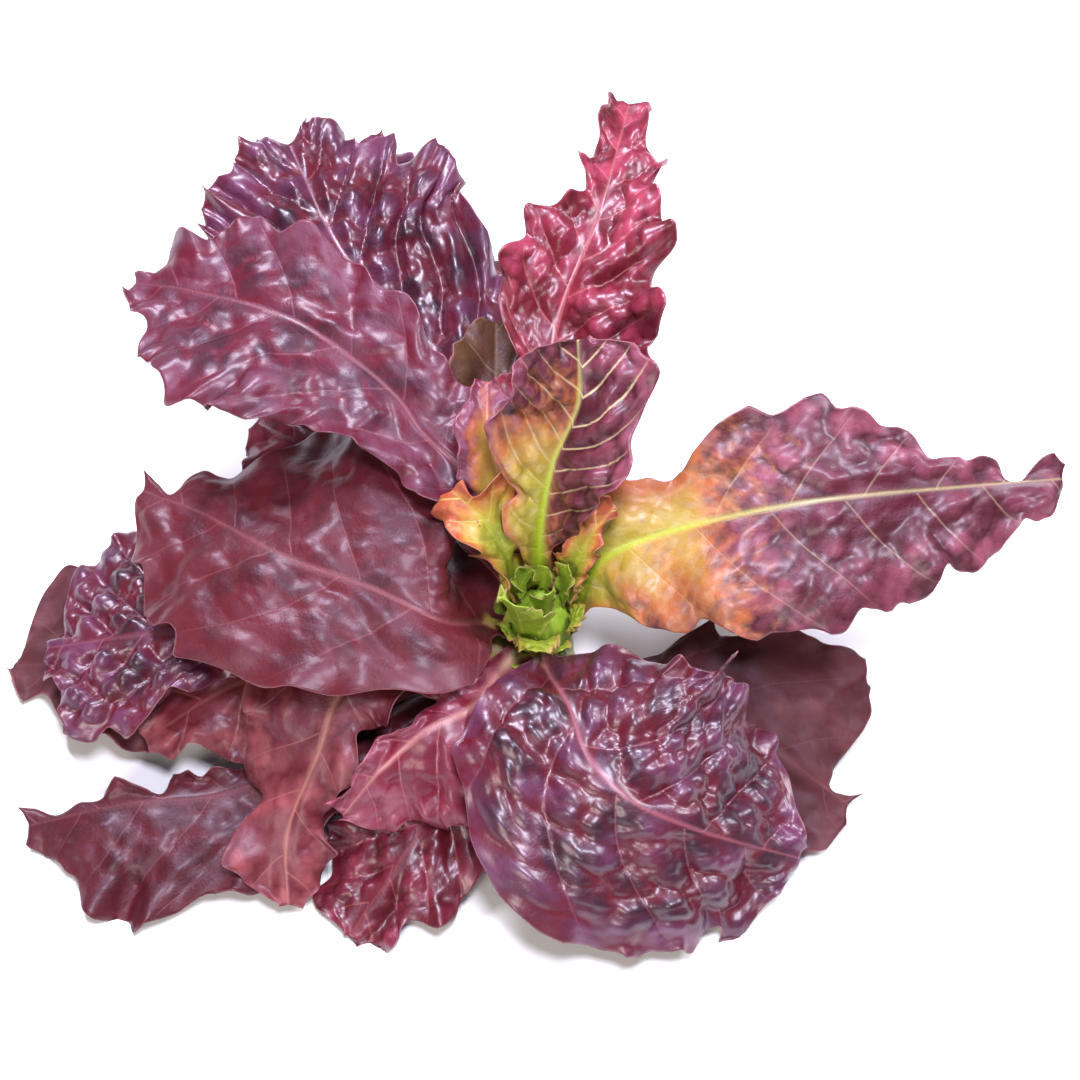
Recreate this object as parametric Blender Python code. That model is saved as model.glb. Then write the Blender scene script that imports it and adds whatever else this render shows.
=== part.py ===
"""A red romaine lettuce head, cut at the stem and opened out, leaf by leaf.

Each leaf grows from the short stem on its own midrib, outer leaves low and inner ones high. The
tables are in millimetres and degrees, and MM turns them into Blender's metres. A bearing runs
anticlockwise from +X, seen from above. The origin is the middle of the cut face, on the table.
"""

from dataclasses import dataclass
import random

import bpy
import numpy as np
from mathutils import Vector
from mathutils.bvhtree import BVHTree

MM = 0.001

# The stem: heights and radii of a stout cone that the leaf bases clasp, with a slim growing tip.
STEM_HEIGHTS = (0.0, 50.0, 56.0, 62.0, 66.0)
STEM_RADII = (17.0, 12.0, 9.6, 5.0, 3.2)
STEM_TOP = 67.6
STEM_SIDES = 28
STEM_RINGS = 7
CUT_BEVEL = 1.2

# The blade of a leaf, and the midrib that thickens its underside.
BLADE = 0.8
RIB_HALF_WIDTH = 5.5
STATIONS = (0.15, 0.3, 0.45, 0.6, 0.75, 0.9)
GAP = 0.3

# The margin's waves: their pitch along the leaf, and how far they move it.
RUFFLE_PITCHES = (47.0, 29.0)
LOBE_PITCHES = (36.0, 21.0)
ROW_CROWDING = 1.15

# Laying each leaf on those outside it.
CLEARANCE = 1.4
STEEPEST = 0.5
EDGE_ON = 0.3
UPWARD = 0.3
SETTLE_STEPS = 5
EASE_STEPS = 12

# Where a leaf is tested against the others, besides its corners: within each triangle.
MIXES = np.array([(0.5, 0.5, 0.0), (0.5, 0.0, 0.5), (0.34, 0.33, 0.33)])


@dataclass
class Leaf:
    """One leaf. The path holds midrib points: distance from the stem's axis, bearing and height.

    The half-widths left and right are at the STATIONS along the midrib. A lean is the slope of a
    half from the midrib out to its margin, at the base and at the tip, and a curl bends it on.
    The ease says how far the blade's turning is spread along a midrib that bends.
    """

    name: str
    look: str
    root: float
    bearing: float
    rise: float
    path: tuple
    left: tuple
    right: tuple
    lean_left: tuple
    lean_right: tuple
    curl: tuple = (0.0, 0.0)
    sweep: tuple = (0.2, 0.4)
    ruffle: float = 5.0
    lobe: float = 4.0
    foot: float = 7.5
    tip: float = 5.0
    rib: float = 4.0
    reach: float = 14.0
    rows: int = 16
    clasp: float = 25.0
    ease: int = 6


LEAVES = [
    Leaf("leaf_left_outermost", "brown", 8, 180, 18,
         ((90, 185, 25), (168, 183, 22), (230, 180, 3)),
         (12, 22, 32, 38, 34, 16), (12, 24, 36, 49, 62, 40), (5, -4), (5, -4)),
    Leaf("leaf_right_low", "brown", 8, 335, 18,
         ((52, 328, 30), (100, 332, 30), (148, 332, 8)),
         (17, 36, 46, 60, 50, 12), (12, 26, 38, 42, 36, 30), (5, 0), (0, -8), rows=13),
    Leaf("leaf_back_low", "brown", 8, 95, 22,
         ((75, 97, 36), (140, 96, 34), (216, 95, 4)),
         (10, 20, 28, 30, 27, 16), (10, 20, 28, 30, 27, 16), (5, 0), (5, 0)),
    Leaf("leaf_front_curled", "crimson", 8, 245, 15,
         ((65, 239, 28), (106, 240, 20), (150, 238, 3)),
         (13, 26, 34, 32, 26, 16), (12, 24, 32, 34, 31, 20), (0, -8), (0, -8),
         ruffle=6.0, rows=13),
    Leaf("leaf_front_left_folded", "maroon", 14, 206, 10,
         ((81, 211, 24), (148, 208, 20), (187, 203, 18), (230, 200, 7)),
         (11, 24, 34, 46, 52, 24), (8, 10, 12, 12, 8, 5), (-6, -12), (0, 0), curl=(-6, 0)),
    Leaf("leaf_back_hidden", "purple", 14, 108, 25,
         ((99, 108, 44), (183, 108, 50), (261, 107, 56)),
         (10, 22, 34, 39, 35, 24), (10, 22, 32, 36, 30, 10), (5, 5), (5, 5)),
    Leaf("leaf_left_back_crimson", "crimson", 18, 150, 22,
         ((68, 136, 38), (115, 138, 42), (165, 140, 34)),
         (12, 24, 34, 38, 34, 18), (12, 24, 34, 37, 32, 20), (5, 0), (5, 0), rows=13),
    Leaf("leaf_left_turned_edge", "red", 20, 198, 22,
         ((81, 192, 40), (128, 192, 34), (172, 195, 12)),
         (12, 24, 34, 36, 28, 14), (12, 24, 33, 39, 42, 26), (0, -16), (5, -5), curl=(-30, -10),
         rows=13),
    Leaf("leaf_left_blistered", "purple", 27, 184, 20,
         ((102, 187, 50), (157, 183, 48), (212, 181, 26)),
         (9, 13, 16, 24, 44, 30), (12, 26, 38, 48, 58, 36), (5, -8), (10, -5), curl=(-12, -8)),
    Leaf("leaf_back_left_broad", "purple", 23, 116, 30,
         ((94, 108, 62), (157, 113, 64), (193, 117, 70), (263, 116, 66)),
         (12, 27, 42, 52, 48, 26), (13, 25, 55, 66, 44, 24), (10, 10), (15, 10), curl=(0, -10),
         sweep=(0.3, 0.9), tip=14.0, rows=15),
    Leaf("leaf_back_olive", "olive", 28, 100, 58,
         ((49, 108, 88), (80, 103, 106), (108, 100, 112)),
         (8, 12, 17, 24, 25, 14), (8, 12, 15, 15, 13, 9), (25, 20), (20, 15), curl=(10, 10),
         rows=11),
    Leaf("leaf_front_left_smooth", "red", 32, 208, 38,
         ((52, 209, 62), (91, 207, 60), (112, 215, 46), (139, 221, 24), (156, 228, 9)),
         (13, 18, 20, 16, 14, 18), (13, 29, 37, 35, 22, 20), (5, -8), (10, -8),
         curl=(-12, -12)),
    Leaf("leaf_front_hanging", "lilac", 38, 236, 26,
         ((58, 240, 60), (76, 232, 60), (98, 228, 49), (118, 226, 30)),
         (18, 45, 47, 43, 36, 16), (8, 12, 12, 9, 8, 12), (-28, -40), (-5, -10), curl=(-15, 0),
         rows=12),
    Leaf("leaf_front_right_broad", "purple", 44, 276, 24,
         ((51, 283, 62), (77, 285, 63), (98, 292, 59), (119, 304, 45), (146, 318, 16)),
         (24, 50, 72, 66, 56, 36), (26, 58, 66, 58, 46, 28), (10, 6), (-12, -38),
         curl=(0, -15), sweep=(-0.6, 0.3), foot=6.5, rows=18, clasp=12.0, ease=900),
    Leaf("leaf_right_long", "green_purple", 34, 30, 60,
         ((30, 28, 72), (53, 21, 84), (110, 13, 100), (178, 11, 98), (223, 11, 90)),
         (26, 24, 42, 36, 16, 6), (30, 44, 54, 48, 36, 20), (30, 20), (-10, -22),
         curl=(10, -26), sweep=(0.0, 0.3), reach=10.0, ruffle=4.0, rows=17),
    Leaf("leaf_left_broad", "maroon", 44, 197, 45,
         ((46, 206, 82), (70, 187, 88), (104, 177, 88), (148, 166, 74), (178, 163, 64)),
         (12, 36, 54, 53, 47, 25), (30, 56, 66, 70, 34, 12), (0, -12), (25, 0),
         curl=(-18, -12), sweep=(-0.7, 0.4), ruffle=4.0, foot=7.0, rows=15, ease=150),
    Leaf("leaf_left_back_two_tone", "two_tone", 35, 126, 58,
         ((43, 127, 86), (72, 132, 102), (91, 131, 110), (142, 135, 120), (196, 140, 108),
          (222, 142, 98)),
         (17, 20, 36, 56, 50, 24), (12, 24, 28, 36, 38, 22), (5, 5), (20, 15), curl=(-10, 0)),
    Leaf("leaf_back_tall", "crimson", 41, 84, 60,
         ((50, 88, 106), (92, 86, 130), (136, 80, 148), (200, 79, 146)),
         (13, 17, 20, 31, 12, 12), (13, 34, 46, 38, 24, 14), (25, 20), (25, 15),
         curl=(0, -10), ruffle=7.0, lobe=5.0, rows=15),
    Leaf("leaf_inner_back_left", "two_tone", 46, 122, 68,
         ((29, 122, 102), (48, 116, 126), (66, 109, 134)),
         (8, 12, 14, 15, 14, 9), (7, 9, 9, 8, 8, 8), (20, 10), (20, 15), ruffle=4.0, lobe=2.5,
         foot=5.5, rib=3.0, reach=9.0, rows=10),
    Leaf("leaf_inner_orange_edge", "green", 46, 30, 80,
         ((18, 30, 80), (27, 34, 94), (39, 37, 100)),
         (4, 7, 9, 9, 7, 5), (5, 7, 6, 6, 6, 4), (8, 20), (10, 0), ruffle=2.5, lobe=2.0,
         foot=4.0, rib=2.0, reach=5.0, tip=3.0, rows=8),
    Leaf("leaf_inner_frilled", "green", 56, 150, 62,
         ((19, 150, 86), (31, 149, 104), (45, 147, 110)),
         (6, 9, 10, 12, 14, 9), (4, 8, 14, 16, 15, 9), (20, 0), (25, 10), curl=(-15, 0),
         ruffle=4.0, lobe=2.5, foot=3.5, rib=2.6, reach=7.0, rows=9),
    Leaf("leaf_inner_upright", "green_purple", 55, 92, 78,
         ((17, 89, 88), (29, 79, 126), (45, 70, 150), (62, 76, 168)),
         (6, 13, 21, 29, 32, 28), (6, 14, 28, 32, 30, 24), (35, 35), (25, 15), ruffle=4.0,
         foot=6.5, rib=4.0, reach=8.0, rows=13),
]

# The youngest leaves follow the golden angle round the growing tip, shorter and steeper each time.
HEART_ROOTS = (50.0, 56.6, 59.2, 61.8, 64.4)
HEART_SIZES = (1.4, 0.8, 0.72, 0.64, 0.52)
HEART_FIRST_BEARING = 240.0
GOLDEN_ANGLE = 137.5
HEART_LENGTH = 31.0
HEART_HALF_WIDTH = 9.5
HEART_SPREAD = 4.0

# Each look: colour, roughness.
LOOKS = {
    "purple": ((0.085, 0.018, 0.045), 0.36),
    "lilac": ((0.125, 0.035, 0.075), 0.38),
    "maroon": ((0.075, 0.012, 0.022), 0.45),
    "crimson": ((0.17, 0.012, 0.028), 0.34),
    "red": ((0.16, 0.038, 0.040), 0.48),
    "brown": ((0.085, 0.030, 0.030), 0.60),
    "olive": ((0.100, 0.060, 0.018), 0.60),
    "two_tone": ((0.110, 0.030, 0.045), 0.42),
    "green_purple": ((0.210, 0.130, 0.035), 0.45),
    "green": ((0.230, 0.260, 0.035), 0.50),
    "stem": ((0.500, 0.520, 0.260), 0.55),
}


def heart_leaves():
    leaves = []
    for i, (root, size) in enumerate(zip(HEART_ROOTS, HEART_SIZES)):
        bearing = (HEART_FIRST_BEARING + GOLDEN_ANGLE * i) % 360
        out = float(stem_radius(root))
        length = HEART_LENGTH * size
        spread = HEART_SPREAD * size**2
        wide = HEART_HALF_WIDTH * size
        half = tuple(wide * share for share in (0.5, 0.8, 1.0, 1.0, 0.85, 0.5))
        path = (
            (out + 1.2 + 0.4 * spread, bearing, root + 0.5 * length),
            (out + 1.2 + spread, bearing, root + 0.95 * length),
        )
        leaves.append(
            Leaf(f"heart_leaf_{i + 1}", "green", root, bearing, 80, path, half, half, (0, 0),
                 (0, 0), ruffle=0.8 * size, lobe=1.6, foot=4.0 * size, tip=3.0 * size,
                 rib=1.6, reach=4.0, rows=6, clasp=200.0)
        )
    return leaves


def smooth(t):
    """0 below 0, 1 above 1, and an S-shaped rise between."""
    t = np.clip(t, 0, 1)
    return t * t * (3 - 2 * t)


def stem_radius(height):
    return np.interp(height, STEM_HEIGHTS, STEM_RADII)


def from_polar(distance, bearing, height):
    angle = np.radians(bearing)
    return np.array([distance * np.cos(angle), distance * np.sin(angle), height])


def path_points(leaf):
    start = from_polar(stem_radius(leaf.root) + GAP, leaf.bearing, leaf.root)
    rise = np.radians(leaf.rise)
    out = from_polar(leaf.reach * np.cos(rise), leaf.bearing, leaf.reach * np.sin(rise))
    return np.array([start, start + out] + [from_polar(*point) for point in leaf.path])


def catmull_rom(points, samples=40):
    """A smooth curve through the points, by centripetal Catmull-Rom, which never loops."""
    ends = np.vstack([2 * points[0] - points[1], points, 2 * points[-1] - points[-2]])
    pieces = []
    for p0, p1, p2, p3 in zip(ends, ends[1:], ends[2:], ends[3:]):
        t1 = np.linalg.norm(p1 - p0) ** 0.5
        t2 = t1 + np.linalg.norm(p2 - p1) ** 0.5
        t3 = t2 + np.linalg.norm(p3 - p2) ** 0.5
        t = np.linspace(t1, t2, samples, endpoint=False)[:, None]
        a1 = ((t1 - t) * p0 + t * p1) / t1
        a2 = ((t2 - t) * p1 + (t - t1) * p2) / (t2 - t1)
        a3 = ((t3 - t) * p2 + (t - t2) * p3) / (t3 - t2)
        b1 = ((t2 - t) * a1 + t * a2) / t2
        b2 = ((t3 - t) * a2 + (t - t1) * a3) / (t3 - t1)
        pieces.append(((t2 - t) * b1 + (t - t1) * b2) / (t2 - t1))
    return np.vstack(pieces + [points[-1:]])


def midrib(leaf):
    """Distances along the midrib, its points and directions, run on straight past the tip."""
    curve = catmull_rom(path_points(leaf))
    along = np.append(0, np.cumsum(np.linalg.norm(np.diff(curve, axis=0), axis=1)))
    length = along[-1]
    even = np.linspace(0, length, 160)
    curve = np.stack([np.interp(even, along, curve[:, k]) for k in range(3)], -1)
    ways = np.gradient(curve, even, axis=0)
    for _ in range(leaf.ease):
        ways[1:-1] = (ways[:-2] + 2 * ways[1:-1] + ways[2:]) / 4
    ways /= np.linalg.norm(ways, axis=1, keepdims=True)
    past = np.linspace(0, 0.5 * length, 30)[1:, None]
    curve = np.vstack([curve, curve[-1] + ways[-1] * past])
    ways = np.vstack([ways, np.repeat(ways[-1:], len(past), 0)])
    return np.append(even, length + past), curve, ways, length


def half_width(leaf, u, widths):
    """A smooth line through the half-widths, from the clasping foot to the tip."""
    at = np.array((-0.12, 0.0, 0.05) + STATIONS + (1.0, 1.12))
    wide = np.array((leaf.foot, leaf.foot, 0.8 * leaf.foot) + tuple(widths) + (leaf.tip, 0.0))
    slope = np.gradient(wide, at)
    i = np.clip(np.searchsorted(at, u, side="right") - 1, 0, len(at) - 2)
    step = at[i + 1] - at[i]
    t = (u - at[i]) / step
    line = (2 * t**3 - 3 * t**2 + 1) * wide[i] + (t**3 - 2 * t**2 + t) * step * slope[i]
    line += (3 * t**2 - 2 * t**3) * wide[i + 1] + (t**3 - t**2) * step * slope[i + 1]
    return np.maximum(line, 1.5)


def margin_waves(leaf, seed, length, u, right):
    """How far the margin waves up and down, and in and out, on the left or the right half."""
    draw = random.Random(2 * seed + right)
    x = length * u
    waves = []
    for pitches in (RUFFLE_PITCHES, LOBE_PITCHES):
        long, short = (np.sin(2 * np.pi * (x / pitch + draw.random())) for pitch in pitches)
        waves.append(0.65 * long + 0.35 * short)
    grown = smooth((u - 0.1) / 0.25)
    return leaf.ruffle * waves[0] * grown, leaf.lobe * waves[1] * grown


def leaf_surface(leaf, seed, u, v):
    """The upper face of a leaf: u runs along it, and v from -1 at the right margin to 1."""
    along, curve, ways, length = midrib(leaf)
    right = v < 0
    a = np.abs(v)
    ruffle_l, lobe_l = margin_waves(leaf, seed, length, u, 0)
    ruffle_r, lobe_r = margin_waves(leaf, seed, length, u, 1)
    ruffle = np.where(right, ruffle_r, ruffle_l) * a**2.2
    width = np.where(
        right, half_width(leaf, u, leaf.right) + lobe_r, half_width(leaf, u, leaf.left) + lobe_l
    )
    width = np.maximum(width, 1.5)

    # Each row leans forward as the side veins do, so it meets the midrib further back.
    lead = leaf.sweep[0] + (leaf.sweep[1] - leaf.sweep[0]) * smooth(u / 0.6)
    x = length * u + lead * width * a**1.5 * smooth(u / 0.1)
    x = np.maximum(x, 0.2 * length * u)
    place = np.stack([np.interp(x, along, curve[:, k]) for k in range(3)], -1)
    way = np.stack([np.interp(x, along, ways[:, k]) for k in range(3)], -1)
    way /= np.linalg.norm(way, axis=-1, keepdims=True)
    side = np.stack([-way[..., 1], way[..., 0], 0 * x], -1)
    side /= np.linalg.norm(side, axis=-1, keepdims=True)
    up = np.cross(way, side)

    # Across the leaf the blade leaves the midrib at its lean, and the curl bends it on.
    def slopes(lean, curl):
        slope = np.radians(lean[0] + (lean[1] - lean[0]) * smooth(1.2 * u)) * smooth(u / 0.12)
        return slope, np.radians(curl) * smooth(u / 0.25)

    slope_l, curl_l = slopes(leaf.lean_left, leaf.curl[0])
    slope_r, curl_r = slopes(leaf.lean_right, leaf.curl[1])
    slope = np.where(right, slope_r, slope_l)
    curl = np.where(right, curl_r, curl_l)
    steps = (np.arange(8) + 0.5) / 8
    angle = slope[..., None] + curl[..., None] * (a[..., None] * steps) ** 2
    across = np.sign(v) * a * width * np.cos(angle).mean(-1)
    lift = a * width * np.sin(angle).mean(-1) + ruffle

    # The foot clasps the stem: near it the rows bend round the stem's own circle.
    circle = stem_radius(leaf.root) + GAP
    clasp = 1 - smooth(x / leaf.clasp)
    turn = np.clip(across / circle, -1.5, 1.5)
    back = clasp * circle * (1 - np.cos(turn))
    across = across * (1 - clasp) + circle * np.sin(turn) * clasp
    outward = way * (1, 1, 0)
    outward /= np.linalg.norm(outward, axis=-1, keepdims=True)
    return place + side * across[..., None] + up * lift[..., None] - outward * back[..., None]


def leaf_grid(leaf):
    """Rows along the leaf, crowded at its foot, and columns that keep the midrib narrow."""
    u = np.linspace(0, 1, leaf.rows + 1) ** ROW_CROWDING
    width = np.minimum(half_width(leaf, u, leaf.left), half_width(leaf, u, leaf.right))
    rib = np.clip(RIB_HALF_WIDTH * (1 - 0.6 * u) / width, 0.06, 0.45)[:, None]
    out = rib + (1 - rib) * np.array([0, 1 / 3, 2 / 3, 1])
    v = np.hstack([-out[:, ::-1], 0 * rib, out])
    return np.repeat(u[:, None], v.shape[1], 1), v


def thickness(leaf, u, v):
    """The blade's thickness, with the midrib swelling its underside towards the foot."""
    width = np.where(v < 0, half_width(leaf, u, leaf.right), half_width(leaf, u, leaf.left))
    spread = RIB_HALF_WIDTH * (1 - 0.6 * u)
    swell = (leaf.rib - BLADE) * (1 - u) ** 1.3
    return BLADE + swell * np.exp(-((v * width / spread) ** 2) * 1.4)


def grid_faces(rows, columns):
    """Triangles over a grid of points, facing the upper side."""
    faces = []
    for i in range(rows - 1):
        for j in range(columns - 1):
            a = i * columns + j
            b = a + columns
            faces.append((a, b, b + 1))
            faces.append((a, b + 1, a + 1))
    return faces


def tree_of(points):
    rows, columns = points.shape[:2]
    corners = [Vector(point) for point in points.reshape(-1, 3)]
    return BVHTree.FromPolygons(corners, grid_faces(rows, columns))


def laying_direction(points):
    """The way a leaf faces on average: it is laid on the others along this direction."""
    along = np.gradient(points, axis=0)
    across = np.gradient(points, axis=1)
    facing = np.cross(along, across).reshape(-1, 3)
    facing = facing.sum(0) / np.linalg.norm(facing.sum(0))
    facing = facing + (0, 0, UPWARD)
    return Vector(facing / np.linalg.norm(facing))


def spread_lift(lift):
    """Eases a lift out over the leaf, never below what each point needs, and never at the foot."""
    eased = lift.copy()
    for _ in range(EASE_STEPS):
        wide = np.pad(eased, 1, mode="edge")
        mean = (wide[:-2, 1:-1] + wide[2:, 1:-1] + wide[1:-1, :-2] + wide[1:-1, 2:]) / 4
        eased = np.maximum(lift, mean)
        eased[0] = 0.0
    return eased


def samples_of(points):
    """Places to test on a leaf: each corner, and points within each triangle, with their cells."""
    rows, columns = points.shape[:2]
    flat = points.reshape(-1, 3)
    found = [(Vector(point), ((k // columns, k % columns),)) for k, point in enumerate(flat)]
    for face in grid_faces(rows, columns):
        ends = tuple((k // columns, k % columns) for k in face)
        for mix in MIXES:
            found.append((Vector(mix @ flat[list(face)]), ends))
    return found


def settle(points, space, laid):
    """Lifts a leaf along its way until it lies clear of the leaves already laid."""
    way = laying_direction(points)
    rows, columns = points.shape[:2]
    faces = grid_faces(rows, columns)
    spine = points[:, columns // 2]
    reach = 0.5 * float(np.linalg.norm(np.diff(spine, axis=0), axis=1).sum())
    low, high = points.min((0, 1)) - reach, points.max((0, 1)) + reach
    near = [
        (tree, samples)
        for tree, samples, box in laid
        if (box[0] < high).all() and (box[1] > low).all()
    ]
    need = np.zeros((rows, columns))
    lift = need.copy()

    def raise_cells(ends, short, normal):
        facing = abs(normal.dot(way))
        if facing < EDGE_ON or min(k[0] for k in ends) < 1:
            return
        short += max(space[k] for k in ends) / max(facing, STEEPEST)
        for k in ends:
            if short > 0:
                need[k] = max(need[k], lift[k] + short)

    for _ in range(SETTLE_STEPS):
        raised = points + lift[..., None] * np.array(way)
        for point, ends in samples_of(raised):
            for tree, _ in near:
                hit, normal, _, _ = tree.ray_cast(point + reach * way, -way, 2 * reach)
                if hit is not None:
                    raise_cells(ends, (hit - point).dot(way), normal)
        own = tree_of(raised)
        for _, samples in near:
            for point, _ in samples:
                hit, normal, index, _ = own.ray_cast(point + reach * way, -way, 2 * reach)
                if hit is not None:
                    ends = [(k // columns, k % columns) for k in faces[index]]
                    raise_cells(ends, (point - hit).dot(way), normal)
        before, lift = lift, spread_lift(need)
        if np.abs(lift - before).max() < 0.05:
            break
    return lift[..., None] * np.array(way)


def keep_off_stem(points):
    """Moves points that a lift has brought against the stem back out to its side."""
    away = np.hypot(points[..., 0], points[..., 1])
    least = np.where(points[..., 2] < STEM_TOP, stem_radius(points[..., 2]) + GAP, 0.0)
    share = np.where(away < least, least / np.maximum(away, 0.1), 1.0)
    return points * np.stack([share, share, np.ones_like(share)], -1)


def material_of(look):
    colour, roughness = LOOKS[look]
    material = bpy.data.materials.get(look)
    if material is None:
        material = bpy.data.materials.new(look)
        material.use_nodes = True
        shader = material.node_tree.nodes["Principled BSDF"]
        shader.inputs["Base Color"].default_value = (*colour, 1.0)
        shader.inputs["Roughness"].default_value = roughness
        shader.inputs["Metallic"].default_value = 0.0
    return material


def add_object(name, points, faces, look):
    mesh = bpy.data.meshes.new(name)
    mesh.from_pydata([tuple(point) for point in points], [], faces)
    mesh.materials.append(material_of(look))
    mesh.shade_smooth()
    obj = bpy.data.objects.new(name, mesh)
    bpy.context.scene.collection.objects.link(obj)
    return obj


def add_leaf(leaf, points, under):
    """The upper face as a sheet of triangles, which Solidify thickens downwards."""
    rows, columns = points.shape[:2]
    sheet = add_object(
        leaf.name, MM * points.reshape(-1, 3), grid_faces(rows, columns), leaf.look
    )
    group = sheet.vertex_groups.new(name="thickness")
    thickest = under.max()
    for index, value in enumerate(under.reshape(-1)):
        group.add([index], value / thickest, "REPLACE")
    solidify = sheet.modifiers.new("blade", "SOLIDIFY")
    solidify.thickness = MM * thickest
    solidify.offset = -1.0
    solidify.vertex_group = group.name
    solidify.use_rim = True
    return sheet


def add_stem():
    heights = list(np.linspace(CUT_BEVEL, STEM_HEIGHTS[1], STEM_RINGS)) + list(STEM_HEIGHTS[2:])
    rings = [(stem_radius(0) - CUT_BEVEL, 0.0)]
    rings += [(stem_radius(height) - 0.1, height) for height in heights]
    rings.append((0.6 * STEM_RADII[-1], 0.5 * (STEM_HEIGHTS[-1] + STEM_TOP) + 0.4))
    points, faces = [], []
    for radius, height in rings:
        for k in range(STEM_SIDES):
            points.append(MM * from_polar(radius, 360 * k / STEM_SIDES, height))
    for i in range(len(rings) - 1):
        for k in range(STEM_SIDES):
            a = i * STEM_SIDES + k
            b = i * STEM_SIDES + (k + 1) % STEM_SIDES
            faces.append((a, b, b + STEM_SIDES, a + STEM_SIDES))
    top = len(points)
    points.append(MM * np.array([0, 0, STEM_TOP]))
    last = (len(rings) - 1) * STEM_SIDES
    for k in range(STEM_SIDES):
        faces.append((last + k, last + (k + 1) % STEM_SIDES, top))
    faces.append(tuple(reversed(range(STEM_SIDES))))
    return add_object("cut_stem", points, faces, "stem")


def build():
    for obj in list(bpy.data.objects):
        bpy.data.objects.remove(obj)
    add_stem()
    laid = []
    for seed, leaf in enumerate(LEAVES + heart_leaves()):
        u, v = leaf_grid(leaf)
        points = leaf_surface(leaf, seed, u, v)
        under = thickness(leaf, u, v)
        points[..., 2] = np.maximum(points[..., 2], under)
        space = under + GAP + CLEARANCE * smooth(np.linspace(0, 4, leaf.rows + 1))[:, None]
        if leaf in LEAVES:
            points = keep_off_stem(points + settle(points, space, laid))
        laid.append((tree_of(points), samples_of(points), (points.min((0, 1)), points.max((0, 1)))))
        add_leaf(leaf, points, under)


build()
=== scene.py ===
# %% [markdown]
# # A red romaine lettuce head, opened out
# This script dresses the plain solids of a lettuce head as the real thing: long purple leaves with
# blisters, veins and frilled edges round a green heart. The solids give each leaf's place, so every
# piece below takes the place of one of them. First the frame is loaded.

# %% Load the frame
from dataclasses import dataclass
from functools import partial
import random

import bpy
import numpy as np
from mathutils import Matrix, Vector
from mathutils.bvhtree import BVHTree


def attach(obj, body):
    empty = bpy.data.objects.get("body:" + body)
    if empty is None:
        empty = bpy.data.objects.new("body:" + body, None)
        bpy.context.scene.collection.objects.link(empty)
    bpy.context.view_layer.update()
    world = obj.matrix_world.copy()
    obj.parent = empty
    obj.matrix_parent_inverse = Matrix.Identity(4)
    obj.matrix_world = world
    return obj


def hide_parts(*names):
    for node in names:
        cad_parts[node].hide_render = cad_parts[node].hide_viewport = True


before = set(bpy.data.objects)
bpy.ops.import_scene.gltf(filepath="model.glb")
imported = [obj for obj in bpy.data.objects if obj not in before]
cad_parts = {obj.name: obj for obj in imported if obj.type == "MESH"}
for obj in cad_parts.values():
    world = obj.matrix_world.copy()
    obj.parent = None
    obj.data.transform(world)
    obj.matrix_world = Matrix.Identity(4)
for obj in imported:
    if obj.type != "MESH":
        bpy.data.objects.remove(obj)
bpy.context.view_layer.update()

print("frame:", len(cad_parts), "nodes")

# %% [markdown]
# ## One leaf in numbers
# A leaf could be sculpted by hand, but a head has dozens, and each is the same idea: a midrib that
# leaves the stem and bends over, with a blade on each side. So a leaf is a short row of numbers, in
# millimetres and degrees. The finish has its own few numbers: how blistered the blade is, how
# frilled its margin, and where along it the red takes over from the green.

# %% The numbers of a leaf
MM = 0.001

STEM_HEIGHTS = (0.0, 50.0, 56.0, 62.0, 66.0)
STEM_RADII = (17.0, 12.0, 9.6, 5.0, 3.2)
STEM_TOP = 67.6
BLADE = 0.8
RIB_HALF_WIDTH = 5.5
STATIONS = (0.15, 0.3, 0.45, 0.6, 0.75, 0.9)
GAP = 0.3
RUFFLE_PITCHES = (47.0, 29.0)
LOBE_PITCHES = (36.0, 21.0)
ROW_CROWDING = 1.15
CLEARANCE = 1.4
STEEPEST = 0.5
EDGE_ON = 0.3
UPWARD = 0.3
SETTLE_STEPS = 5
SETTLED = 0.05
EASE_STEPS = 12
MIXES = np.array([(0.5, 0.5, 0.0), (0.5, 0.0, 0.5), (0.34, 0.33, 0.33)])

print("blades of", BLADE, "mm on a stem of", STEM_TOP, "mm")

# %% [markdown]
# Two small records hold a leaf: its shape, which the frame's solids have too, and its finish, which
# is only for this script. A leaf names what is special to it, and keeps the usual value elsewhere.

# %% The records of a leaf
@dataclass
class Leaf:
    """One leaf. The path holds midrib points: distance from the stem's axis, bearing and height.

    The half-widths left and right are at the STATIONS along the midrib. A lean is the slope of a
    half from the midrib out to its margin, at the base and at the tip, and a curl bends it on.
    The ease says how far the blade's turning is spread along a midrib that bends.
    """

    name: str
    look: str
    root: float
    bearing: float
    rise: float
    path: tuple
    left: tuple
    right: tuple
    lean_left: tuple
    lean_right: tuple
    curl: tuple = (0.0, 0.0)
    sweep: tuple = (0.2, 0.4)
    ruffle: float = 5.0
    lobe: float = 4.0
    foot: float = 7.5
    tip: float = 5.0
    rib: float = 4.0
    reach: float = 14.0
    rows: int = 16
    clasp: float = 25.0
    ease: int = 6


@dataclass
class Finish:
    """How one blade is finished. The red starts at a share of the length, on each half. The pitch
    of the side veins is in millimetres. Heat is how crimson the blade is beside its midrib, and
    shade is how much darker it is than its look."""

    blister: float = 1.0
    frill: float = 1.0
    tooth: float = 1.0
    red_left: float = 0.05
    red_right: float = 0.05
    red_span: float = 0.2
    margin_red: float = 0.3
    warm: float = 0.3
    rib: float = 0.7
    rib_wide: float = 2.0
    pitch: float = 24.0
    pleat: float = 1.0
    vein: float = 0.35
    heat: float = 0.7
    shade: float = 0.0
    fine: float = 1.0


print("a leaf has", len(Leaf.__annotations__), "values, and its finish", len(Finish.__annotations__))

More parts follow.
